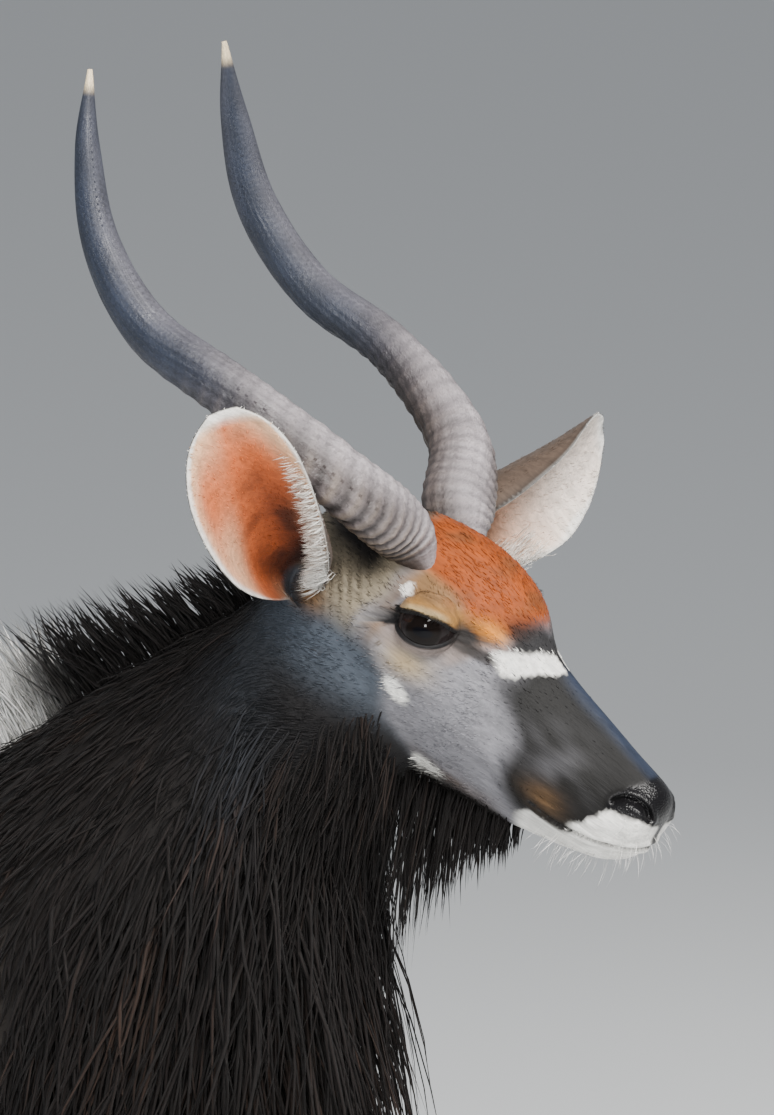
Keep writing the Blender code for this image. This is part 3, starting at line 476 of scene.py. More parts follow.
def set_points(obj: bpy.types.Object, points: Array) -> None:
    """Moves the object's points."""
    obj.data.vertices.foreach_set("co", np.ascontiguousarray(points, float).ravel())
    obj.data.update()


def normals_of(obj: bpy.types.Object) -> Array:
    """The object's smooth normals at its points."""
    found = np.empty(len(obj.data.vertices) * 3)
    obj.data.vertex_normals.foreach_get("vector", found)
    return found.reshape(-1, 3)


def edges_of(obj: bpy.types.Object) -> Array:
    """The object's edges as pairs of points."""
    found = np.empty(len(obj.data.edges) * 2, dtype=np.int64)
    obj.data.edges.foreach_get("vertices", found)
    return found.reshape(-1, 2)


def triangles_of(obj: bpy.types.Object) -> Array:
    """The object's triangles as rows of points.

    Args:
        obj: The object.

    Returns:
        Three point numbers for each triangle.
    """
    obj.data.calc_loop_triangles()
    found = np.empty(len(obj.data.loop_triangles) * 3, dtype=np.int64)
    obj.data.loop_triangles.foreach_get("vertices", found)
    return found.reshape(-1, 3)


def relaxed(obj: bpy.types.Object, amount: Array, passes: int) -> None:
    """Smooths an object by drawing each point towards its neighbours.

    Args:
        obj: The object.
        amount: How far each point goes at each pass, 0 to 1.
        passes: How often.
    """
    points = points_of(obj)
    ends = edges_of(obj)
    a, b = ends[:, 0], ends[:, 1]
    count = len(points)
    degree = np.maximum(np.bincount(a, minlength=count) + np.bincount(b, minlength=count), 1)
    for _ in range(passes):
        middle = np.stack([np.bincount(a, points[b, k], count)
            + np.bincount(b, points[a, k], count) for k in range(3)], axis=1) / degree[:, None]
        points += (middle - points) * amount[:, None]
    set_points(obj, points)


def oval_rings(front: Array, back: Array, half_width: Array, segments: int) -> Array:
    """Ovals between pairs of points, each this wide to both sides.

    Args:
        front: One end of each oval.
        back: The other end.
        half_width: Half the width of each.
        segments: Points to a ring.

    Returns:
        Rings by points by three.
    """
    t = np.linspace(0, 2 * math.pi, segments, endpoint=False)
    middle, half = (front + back) / 2, (front - back) / 2
    return (middle[:, None] + half[:, None] * np.cos(t)[None, :, None]
        + LEFT * (half_width[:, None] * np.sin(t)[None])[..., None])


@dataclass
class BodyForm:
    """The bull's straight body, as the closed forms that its skin is drawn round."""

    trunk_rings: int = 90
    trunk_segments: int = 80
    neck_rings: int = 60
    neck_segments: int = 64
    head_rings: int = 130
    head_segments: int = 72
    leg_rings: int = 110
    leg_segments: int = 40

    def trunk(self) -> Array:
        """Egg-shaped rings along the body, widest a little below the middle."""
        x, top, bottom, half_width = spline(TORSO, self.trunk_rings).T[..., None]
        t = np.linspace(0, 2 * math.pi, self.trunk_segments, endpoint=False)[None]
        widest = bottom + TORSO_WIDEST * (top - bottom)
        rise = np.cos(t)
        reach = np.where(rise > 0, top - widest, widest - bottom)
        pinch = 1 - 0.14 * np.maximum(rise, 0) ** 2
        across = half_width * np.sin(t) * pinch
        return np.stack([x + 0 * t, across, widest + reach * rise], axis=-1)

    def neck(self) -> Array:
        """Ovals along the neck, from crest to throat."""
        tx, tz, bx, bz, half = spline(NECK, self.neck_rings).T
        zero = np.zeros_like(tx)
        return oval_rings(np.stack([tx, zero, tz], 1), np.stack([bx, zero, bz], 1), half,
            self.neck_segments)

    def head(self) -> Array:
        """Rings along the face, with their own widths high, midway and low."""
        t = np.linspace(0, 2 * math.pi, self.head_segments, endpoint=False)
        depth = (1 - np.cos(t)) / 2
        side = np.sign(np.sin(t)) * np.abs(np.sin(t)) ** 0.82
        rings = []
        for along, top, bottom, high, mid, low in spline(HEAD, self.head_rings):
            widths = np.polyfit((0.2, 0.5, 0.8), (high, mid, low), 2)
            full = np.polyval(widths, np.clip(depth, 0.08, 0.92))
            rows = np.stack([np.full_like(t, along), full * side, top + (bottom - top) * depth], 1)
            rings.append(face_points(rows))
        return np.array(rings)

    def leg(self, table: Rows, side: int) -> Array:
        """Level ovals down one leg.

        Args:
            table: The leg's rings.
            side: 1 for the left leg, -1 for the right.

        Returns:
            Rings by points by three.
        """
        z, x, y, deep, wide = spline(table, self.leg_rings).T
        keep = z >= CORONET - 0.012
        z, x, y, deep, wide = (row[keep] for row in (z, x, y * side, deep, wide))
        return oval_rings(np.stack([x + deep, y, z], 1), np.stack([x - deep, y, z], 1), wide,
            self.leg_segments)

    def tail(self) -> Array:
        """Rings down the tail's core."""
        x, z, radius = spline(TAIL, 40).T
        run = unit(np.stack([np.gradient(x), np.zeros_like(x), np.gradient(z)], 1))
        out = np.stack([run[:, 2], np.zeros_like(x), -run[:, 0]], 1)
        t = np.linspace(0, 2 * math.pi, 24, endpoint=False)
        middle = np.stack([x, np.zeros_like(x), z], 1)
        return (middle[:, None] + out[:, None] * (radius[:, None] * np.cos(t))[..., None]
            + LEFT * (radius[:, None] * np.sin(t))[..., None])

    def all(self) -> list[bmesh.types.BMesh]:
        """Every form of the body."""
        rings = [self.trunk(), self.neck(), self.head(), self.tail()]
        for side in (1, -1):
            rings += [self.leg(FORELEG, side), self.leg(HINDLEG, side)]
        return [tube(each) for each in rings]


@dataclass(frozen=True)
class EyeForm:
    """Where an eye sits and how its lids open, in millimetres on the face."""

    centre: tuple[float, float, float] = (-11.0, 46.5, -6.0)
    facing: tuple[float, float, float] = (0.34, 0.92, 0.1)
    radius: float = 17.8
    half_long: float = 19.6
    upper: float = 8.6
    lower: float = 7.9
    tilt: float = math.radians(14)
    upper_lid: float = 2.6
    lower_lid: float = 2.0

    def axes(self, side: int) -> tuple[Array, Array, Array, Array]:
        """The eye's place and its own directions.

        Args:
            side: 1 for the left eye, -1 for the right.

        Returns:
            The centre, and the ways out, along the lids and up across them.
        """
        centre = face_points(np.array(self.centre) * MM, side)
        forwards, outwards, up = self.facing
        out = unit(FORWARD * forwards + LEFT * (side * outwards) + UPWARD * up)
        along = unit(FORWARD - out * (FORWARD @ out))
        high = unit(UPWARD - out * (UPWARD @ out) - along * (UPWARD @ along))
        long = along * math.cos(self.tilt) + high * math.sin(self.tilt)
        high = high * math.cos(self.tilt) - along * math.sin(self.tilt)
        return centre, out, long, high

    def read(self, points: Array, side: int) -> tuple[Array, Array, Array, Array, Array]:
        """Reads points against the eye.

        Args:
            points: Points of the straight model.
            side: Which eye.

        Returns:
            Distance from the lids' edge, outside positive, then how far each point lies
            along the lids, up across them, and out of the head, in millimetres, and its
            distance from the eye's centre.
        """
        centre, out, long, high = self.axes(side)
        away = (points - centre) / MM
        size = np.maximum(np.linalg.norm(away, axis=1), 1e-9)
        way = away / size[:, None] * self.radius
        x, y, z = way @ long, way @ high, away @ out
        x = x + 1.2
        share = np.clip(np.abs(x) / self.half_long, 0, 1)
        tall = np.where(y > 0, self.upper, self.lower)
        height = tall * (1 - share**2.2) ** 0.8
        slope = tall / self.half_long * 1.5 * share
        inner = (np.abs(y) - height) / np.sqrt(1 + slope**2)
        outer = np.hypot(np.maximum(np.abs(x) - self.half_long, 0), y)
        edge = np.where(np.abs(x) < self.half_long, inner, outer)
        edge = edge + 0.6 * np.maximum(size - 27, 0)
        edge = np.where((z > -2) & (size < 48), edge, 60.0)
        return edge, x, y, z, size


EYE = EyeForm()

# Lines of the face, as along, outwards and up, in metres: the mouth, the creases above
# its corner, the nostril, the groove before the eye and those under it.
MOUTH: Rows = (
    (0.094, 0.029, -0.0705),
    (0.116, 0.026, -0.0715),
    (0.133, 0.023, -0.0675),
    (0.149, 0.018, -0.0605),
    (0.159, 0.01, -0.057),
    (0.165, 0.0, -0.056),
)
NOSTRIL: Rows = (
    (0.141, 0.0235, -0.0345),
    (0.1455, 0.023, -0.029),
    (0.1525, 0.0205, -0.0275),
    (0.1585, 0.0165, -0.0305),
    (0.16, 0.014, -0.0355),
)
TEAR_LINE: Rows = ((0.012, 0.046, -0.0045), (0.023, 0.04, -0.0045),
                   (0.035, 0.033, -0.004))
CREASES: tuple[tuple[Rows, float, float], ...] = (
    (((0.086, 0.031, -0.06), (0.1, 0.029, -0.061), (0.114, 0.027, -0.058)), 0.9, 1.8),
    (((0.082, 0.031, -0.05), (0.096, 0.03, -0.053), (0.108, 0.028, -0.052)), 0.6, 2.0),
    (((0.09, 0.029, -0.066), (0.103, 0.028, -0.0665), (0.118, 0.026, -0.0635)), 0.7, 1.4),
    (((0.092, 0.028, -0.071), (0.086, 0.028, -0.066), (0.083, 0.029, -0.058)), 0.8, 1.6),
    (((0.06, 0.034, -0.052), (0.072, 0.032, -0.062), (0.086, 0.028, -0.074)), 0.9, 3.0),
    (((0.148, 0.024, -0.043), (0.156, 0.021, -0.044), (0.163, 0.014, -0.046)), 0.5, 1.5),
)


@dataclass(frozen=True)
class EarForm:
    """One ear, a curled leaf on a tube, placed level from the eye line."""

    side: int
    root: tuple[float, float, float]
    tip: tuple[float, float, float]
    facing: tuple[float, float, float]
    bow: float
    # pale: 1 for the ear painted lit and paler in its cup, 0 for the one with painted shade deep
    # in its cup; it also moves where the long edge hair stops.
    pale: float
    shape: Rows = (
        (0.0, 0.034, 0.0135),
        (0.15, 0.047, 0.0195),
        (0.35, 0.058, 0.0285),
        (0.55, 0.059, 0.0335),
        (0.75, 0.051, 0.0375),
        (0.92, 0.031, 0.044),
        (1.0, 0.009, 0.05),
    )
    root_depth: float = 0.13
    thick: float = 0.003
    rim: float = 0.0012

    def axes(self) -> tuple[Array, Array, Array, Array, float]:
        """The ear's root, the ways to its tip, out of its cup and across, and its length."""
        start, end = level_points(self.root, self.side), level_points(self.tip, self.side)
        length = float(np.linalg.norm(end - start))
        run = (end - start) / length
        way = np.array(self.facing) * np.array((1, self.side, 1))
        opening = unit(way - run * (way @ run))
        return start, run, opening, np.cross(run, opening), length

    def sizes(self, share: Array) -> tuple[Array, Array, Array]:
        """The curl's radius, half its angle and how far it bows, at shares of the length.

        Args:
            share: Shares of the ear's length.

        Returns:
            The radius, the half angle and the bow at each.
        """
        rows = spline(self.shape, 120)
        inside = np.clip(share, 0, 1)
        breadth = np.interp(inside, rows[:, 0], rows[:, 1])
        curl = np.interp(inside, rows[:, 0], rows[:, 2])
        return curl, np.minimum(breadth / curl, 2.75), self.bow * np.sin(math.pi * inside)

    def surface(self, share: Array, turn: Array, lift: Array) -> Array:
        """Points on the ear.

        Args:
            share: How far towards the tip, 0 to 1.
            turn: How far round the leaf, -1 to 1 from edge to edge.
            lift: How far out of the leaf's middle, on the outer side.

        Returns:
            The points.
        """
        start, run, opening, across, length = self.axes()
        curl, half, bow = self.sizes(share)
        angle = turn * half
        reach = curl + lift
        return (start + run * (share * length)[..., None] + opening * bow[..., None]
            - opening * (reach * np.cos(angle) - 0.55 * curl)[..., None]
            + across * (reach * np.sin(angle))[..., None])

    def read(self, points: Array) -> tuple[Array, Array, Array, Array]:
        """Reads points against the ear.

        Args:
            points: Points of the straight model.

        Returns:
            Share of the length, turn round the leaf, height over its outer side, and how
            far the point is from the leaf.
        """
        start, run, opening, across, length = self.axes()
        away = points - start
        share = away @ run / length
        curl, half, bow = self.sizes(share)
        x = away @ opening - bow - 0.55 * curl
        y = away @ across
        angle = np.arctan2(y, -x)
        lift = np.hypot(x, y) - curl
        turn = angle / half
        beyond = np.maximum(np.abs(turn) - 1, 0) * half * curl
        past = np.maximum(share - 1, 0) * length + np.maximum(-share, 0) * length
        return share, turn, lift, np.hypot(np.hypot(lift, beyond), past)

    def leaf(self, rows: int = 56, columns: int = 34) -> bmesh.types.BMesh:
        """The ear as a closed skin, with a thin rim and soft ribs in the cup.

        Args:
            rows: Rings from root to tip.
            columns: Points from edge to edge.

        Returns:
            The closed leaf.
        """
        share = np.linspace(-self.root_depth, 1.0, rows)[:, None]
        turn = np.linspace(-1, 1, columns)[None]
        rim = ease(0.72, 1.0, np.abs(turn))
        tip = ease(0.8, 1.0, share)
        half = (self.thick + (self.rim - self.thick) * np.maximum(rim, tip)) / 2
        ribs = 0.0009 * np.cos(turn * 11) * ease(0.05, 0.4, share) * (1 - rim) * (1 - tip)
        share, turn, half = np.broadcast_arrays(share, turn, half)
        outer = self.surface(share, turn, half)
        inner = self.surface(share, turn, -half + ribs)
        return tube(np.concatenate([outer, inner[:, ::-1]], axis=1))


# One ear coloured two ways: the left one (pale 1) with painted light in its cup, the right one
# with painted shade there.
EARS = (
    EarForm(-1, (-0.098, 0.05, 0.026), (-0.08, 0.166, 0.124), (0.42, 0.9, 0.0), 0.014, 0.0),
    EarForm(1, (-0.098, 0.05, 0.024), (-0.004, 0.182, 0.076), (0.62, -0.6, -0.55), 0.004, 1.0),
)


def on_head(points: Array) -> Array:
    """How far points belong to the head, 0 to 1."""
    return ease(-0.045, 0.01, (points - np.array((0.69, 0.0, 1.115)))
        @ np.array((0.979, 0.0, 0.204)))


def coat_depth(points: Array) -> Array:
    """How deep the short coat is, in metres, at points of the straight model.

    Args:
        points: Points of the straight model.

    Returns:
        The depth at each.
    """
    along = to_face(points)[0]
    head = on_head(points)
    face = 0.0016 - 0.0011 * ease(60, 120, along)
    leg = 1 - ease(0.42, 0.62, points[:, 2])
    body = 0.0045 - 0.0022 * leg - 0.001 * (1 - ease(0.06, 0.12, points[:, 2]))
    return body * (1 - head) + face * head


@dataclass
class Skin:
    """The bull's one skin, from the nose to the coronets and the tail."""

    voxel: float = 0.003
    triangles: int = 104_000
    passes: int = 30
    finest: float = 0.55
    obj: bpy.types.Object = field(init=False)
    straight: Array = field(init=False)
    normals: Array = field(init=False)
    lines: dict[str, Array] = field(default_factory=dict)

    def build(self) -> bpy.types.Object:
        """Makes the skin straight, with the folds of the face and both ears."""
        self.obj = added("skin", BodyForm().all())
        self.drawn_round()
        self.eared()
        self.thinned()
        self.refined()
        self.snap_lines()
        self.sculpted()
        self.straight = points_of(self.obj)
        self.normals = normals_of(self.obj)
        log.info("skin: %d triangles", len(triangles_of(self.obj)))
        return self.obj

    def drawn_round(self) -> None:
        """Draws one smooth skin round the forms and raises the muscles."""
        remesh = self.obj.modifiers.new("remesh", "REMESH")
        remesh.mode = "VOXEL"
        remesh.voxel_size = self.voxel
        applied(self.obj)
        points = points_of(self.obj)
        fleshy = ease(0.5, 0.66, points[:, 2]) * (1 - 0.8 * on_head(points))
        relaxed(self.obj, 0.06 + 0.44 * fleshy, self.passes)
        points, out = points_of(self.obj), normals_of(self.obj)
        moved = -coat_depth(points)
        for forms, place in ((HEAD_FORMS, face_points), (BODY_FORMS, None)):
            for row in forms:
                for side in (1, -1):
                    at = np.array(row[:3]) * np.array((1, side, 1))
                    centre = place(np.array(row[:3]), side) if place else at
                    away = np.sum((points - centre) ** 2, axis=1)
                    moved += row[4] * np.exp(-away / (0.5 * row[3] ** 2))
        set_points(self.obj, points + out * moved[:, None])

    def thinned(self) -> None:
        """Spares triangles where the form is plain and keeps them on the head."""
        group = self.obj.vertex_groups.new(name="plain")
        points = points_of(self.obj)
        plain = 1 - on_head(points)
        levels = 5
        rank = np.round(plain * levels).astype(int)
        for level in range(1, levels + 1):
            chosen = np.nonzero(rank == level)[0].tolist()
            if chosen:
                group.add(chosen, level / levels, "REPLACE")
        decimate = self.obj.modifiers.new("thin", "DECIMATE")
        decimate.ratio = self.triangles / len(triangles_of(self.obj))
        decimate.vertex_group = "plain"
        decimate.vertex_group_factor = 1.0
        decimate.use_collapse_triangulate = True
        applied(self.obj)
        self.obj.vertex_groups.clear()

    def wanted(self, points: Array) -> Array:
        """How long the skin's edges may be at points, in millimetres.

        Args:
            points: Points of the straight model.

        Returns:
            The longest edge allowed at each.
        """
        want = np.full(len(points), 99.0)
        along, across, up = to_face(points)
        want = np.where((along > -95) & (on_head(points) > 0.9), 3.2, want)
        for side in (1, -1):
            edge = EYE.read(points, side)[0]
            fine = self.finest + 0.13 * np.maximum(np.abs(edge) - 1.5, 0)
            want = np.where(edge < 24, np.minimum(want, fine), want)
            for line in (MOUTH, NOSTRIL):
                away = near_line(points, face_points(line, side))[0] / MM
                want = np.where(away < 12, np.minimum(want, 0.75 + 0.17 * away), want)
        folds = np.hypot(np.hypot(along + 68, np.abs(across) - 50), up + 6)
        want = np.where(folds < 24, np.minimum(want, 1.6 + 0.05 * folds), want)
        return want

    def refined(self) -> None:
        """Divides the skin finely round the eyes, mouth, nostrils and folds."""
        bm = bmesh.new()
        bm.from_mesh(self.obj.data)
        for _ in range(5):
            verts = np.array([vert.co for vert in bm.verts])
            bm.verts.index_update()
            edges = list(bm.edges)
            ends = np.array([(e.verts[0].index, e.verts[1].index) for e in edges])
            middle = (verts[ends[:, 0]] + verts[ends[:, 1]]) / 2
            size = np.linalg.norm(verts[ends[:, 0]] - verts[ends[:, 1]], axis=1) / MM
            near = np.nonzero(middle[:, 0] > 0.6)[0]
            chosen = near[size[near] > 1.45 * self.wanted(middle[near])]
            if len(chosen) == 0:
                break
            bmesh.ops.subdivide_edges(bm, edges=[edges[i] for i in chosen], cuts=1,
                use_grid_fill=True)
            bmesh.ops.triangulate(bm, faces=[f for f in bm.faces if len(f.verts) > 3])
        bm.to_mesh(self.obj.data)
        bm.free()
        points = points_of(self.obj)
        fine = (points[:, 0] > 0.6) & (self.wanted(points) < 50)
        relaxed(self.obj, 0.5 * fine, 2)

    def snap_lines(self) -> None:
        """Lays the lines of the face on the skin."""
        tree = BVHTree.FromObject(self.obj, bpy.context.evaluated_depsgraph_get())
        named = {"mouth": MOUTH, "nostril": NOSTRIL, "tear": TEAR_LINE}
        named.update({f"crease_{i}": rows for i, (rows, _, _) in enumerate(CREASES)})
        for name, rows in named.items():
            line = face_points(spline(rows, 24), 1)
            laid = [np.array(tree.find_nearest(Vector(p))[0]) for p in line]
            if name == "mouth":
                laid[-1][1] = 0.0
            self.lines[name] = np.array(laid)

    def sculpted(self) -> None:
        """Cuts the mouth, nostrils and folds, and lays the lids round the eyes."""
        points, out = points_of(self.obj), normals_of(self.obj)
        face = np.nonzero(on_head(points) > 0.05)[0]
        here, way = points[face], out[face]
        mirrored = here.copy()
        mirrored[:, 1] = np.abs(mirrored[:, 1])
        moved = np.zeros(len(here))
        away, share = near_line(mirrored, self.lines["mouth"])
        away = away / MM
        open_lip = ease(0.0, 0.12, share)
        lips = 1.5 * bell(away, 3.6, 2.3) * (0.35 + 0.65 * open_lip)
        moved += lips - (1.2 + 2.2 * open_lip) * bell(away, 0, 1.15)
        away, share = near_line(mirrored, self.lines["nostril"])
        away = away / MM
        hole = 1 - ease(1.1, 3.1, away)
        moved += 1.3 * bell(away, 4.4, 1.8)
        inwards = -LEFT * np.sign(here[:, 1:2]) * 0.72 - FORWARD * 0.69
        away, share = near_line(mirrored, self.lines["tear"])
        moved -= 1.7 * bell(away / MM, 0, 2.4) * (1 - 0.7 * share)
        for i, (_, deep, wide) in enumerate(CREASES):
            away, share = near_line(mirrored, self.lines[f"crease_{i}"])
            fade = np.sin(math.pi * np.clip(share, 0.04, 0.96)) ** 0.5
            moved -= deep * fade * bell(away / MM, 0, wide)
            moved += 0.4 * deep * fade * bell(away / MM, 2 * wide, wide)
        moved += self.folds(mirrored)
        here = here + way * (moved * MM)[:, None] + inwards * (5.0 * hole * MM)[:, None]
        for side in (1, -1):
            here = self.lidded(here, side)
        points[face] = here
        set_points(self.obj, points)

    def folds(self, points: Array) -> Array:
        """The upright folds of loose skin before the ear, in millimetres.

        Args:
            points: Points of the straight model, mirrored to the left.

        Returns:
            How far each is raised.
        """
        along, across, up = to_face(points)
        level = (points - EYE_LINE) / MM
        across_fold = 0.88 * level[:, 0] - 0.42 * level[:, 1] + 0.1 * level[:, 2]
        wobble = 1.2 * ripple(points, 0.012, 5)
        spread = hill((along, -71, 15), (up, -8, 21))
        spread *= ease(30, 42, across)
        wave = np.sin((across_fold + wobble) * 2 * math.pi / 6.2)
        groove = -0.9 * bell(along, -37, 4.0) * bell(up, -22, 34)
        return 1.15 * spread * wave + groove * ease(34, 48, across)

    def lidded(self, points: Array, side: int) -> Array:
        """Draws the skin over one eye as two lids with folds.

        Args:
            points: The head's points.
            side: Which eye.

        Returns:
            The moved points.
        """
        centre, _, _, _ = EYE.axes(side)
        edge, x, y, z, size = EYE.read(points, side)
        lid = np.where(y > 0, EYE.upper_lid, EYE.lower_lid)
        lid = lid * (0.72 + 0.28 * (1 - np.clip(np.abs(x) / EYE.half_long, 0, 1) ** 2))
        rise = np.sqrt(np.clip(1 - ((1.5 - np.clip(edge, 0, 1.5)) / 1.5) ** 2, 0, 1))
        outside = EYE.radius + 0.15 + lid * rise
        inside = EYE.radius + 0.15 - 5.2 * ease(0.0, -2.0, edge)
        ball = np.where(edge > 0, outside, inside)
        middle = 1 - ease(11, 19, np.abs(x))
        above, beneath = ease(1, 5, y) * middle, ease(1, 5, -y) * middle
        upper_fold = bell(edge, 6.0, 1.0) * above * 1.25
        upper_roll = bell(edge, 9.3, 2.4) * above * 1.3
        lower_fold = bell(edge, 4.6, 0.9) * beneath * 0.75
        second_fold = bell(edge, 8.6, 1.2) * beneath * 0.6
        reach = ball + 0.1 * np.maximum(edge - 2, 0)
        hold = 1 - ease(4.0, 17.0, edge)
        size_now = size + (reach - size) * hold
        size_now = size_now + upper_roll - upper_fold - lower_fold - second_fold
        near = (edge < 24) & (z > -4)
        moved = centre + (points - centre) * (size_now / size)[:, None]
        return np.where(near[:, None], moved, points)

    def eared(self) -> None:
        """Joins both ears to the head and softens where they meet it."""
        for ear in EARS:
            leaf = added("ear", [ear.leaf()])
            join = self.obj.modifiers.new("join", "BOOLEAN")
            join.operation = "UNION"
            join.solver = "MANIFOLD"
            join.object = leaf
            applied(self.obj)
            bpy.data.objects.remove(leaf)
        points = points_of(self.obj)
        soft = np.zeros(len(points))
        for ear in EARS:
            share, _, _, away = ear.read(points)
            near = bell(share, 0, 0.1) * bell(away, 0, 0.01)
            soft = np.maximum(soft, near)
        relaxed(self.obj, 0.5 * np.clip(soft * 1.4, 0, 1), 6)


@dataclass(frozen=True)
class Palette:
    """The colours of the bull's coat and skin."""

    rust: Colour = srgb(146, 68, 20)
    gold: Colour = srgb(150, 106, 46)
    bright_gold: Colour = srgb(204, 126, 34)
    cream: Colour = srgb(170, 148, 108)
    cheek: Colour = srgb(124, 123, 128)
    fleck: Colour = srgb(30, 25, 23)
    muzzle: Colour = srgb(17, 16, 15)
    # Painted sheen: blue light reflected along the top of the nose.
    bridge_sheen: Colour = srgb(44, 54, 74)
    white: Colour = srgb(242, 240, 234)
    nose: Colour = srgb(15, 14, 16)
    brown: Colour = srgb(86, 64, 40)
    temple: Colour = srgb(128, 118, 100)
    # Blue-grey of the neck and the cheek's back: the coat's dark grey with a painted sheen.
    blue_grey: Colour = srgb(62, 69, 78)
    mane: Colour = srgb(14, 10, 9)
    mane_tip: Colour = srgb(44, 31, 24)
    body: Colour = srgb(78, 70, 63)
    belly: Colour = srgb(42, 34, 30)
    leg: Colour = srgb(146, 100, 60)
    crest: Colour = srgb(232, 230, 226)
    ear_rust: Colour = srgb(196, 92, 38)
    ear_peach: Colour = srgb(230, 186, 148)
    ear_back: Colour = srgb(84, 70, 60)
    ear_dark: Colour = srgb(36, 15, 10)


PALETTE = Palette()


def plain(colour: Colour | Array, count: int) -> Array:
    """One colour for each of many points."""
    return np.tile(np.array(colour), (count, 1))


def over(base: Array, colour: Colour, mask: Array) -> Array:
    """Lays a colour over others where a mask says."""
    mask = np.clip(mask, 0, 1)[:, None]
    return base * (1 - mask) + np.array(colour) * mask


@dataclass
class Paint:
    """Colours of many points, laid one over another."""

    tones: Array

    def lay(self, colour: Colour, mask: Array) -> None:
        """Lays a colour over the others where a mask says."""
        self.tones = over(self.tones, colour, mask)


def oval(x: Array, y: Array, middle: tuple[float, float], long: float, short: float, tilt: float,
        soft: float = 0.25) -> Array:
    """A filled oval with a soft edge.

    Args:
        x: Distance one way.
        y: Distance the other way.
        middle: The oval's middle.
        long: Half its length.
        short: Half its breadth.
        tilt: How its length is turned, in radians.
        soft: How wide the edge is, as a share of the size.

    Returns:
        1 inside and 0 outside.
    """
    dx, dy = x - middle[0], y - middle[1]
    along = (dx * math.cos(tilt) + dy * math.sin(tilt)) / long
    across = (dy * math.cos(tilt) - dx * math.sin(tilt)) / short
    return 1 - ease(1 - soft, 1 + soft, np.hypot(along, across))


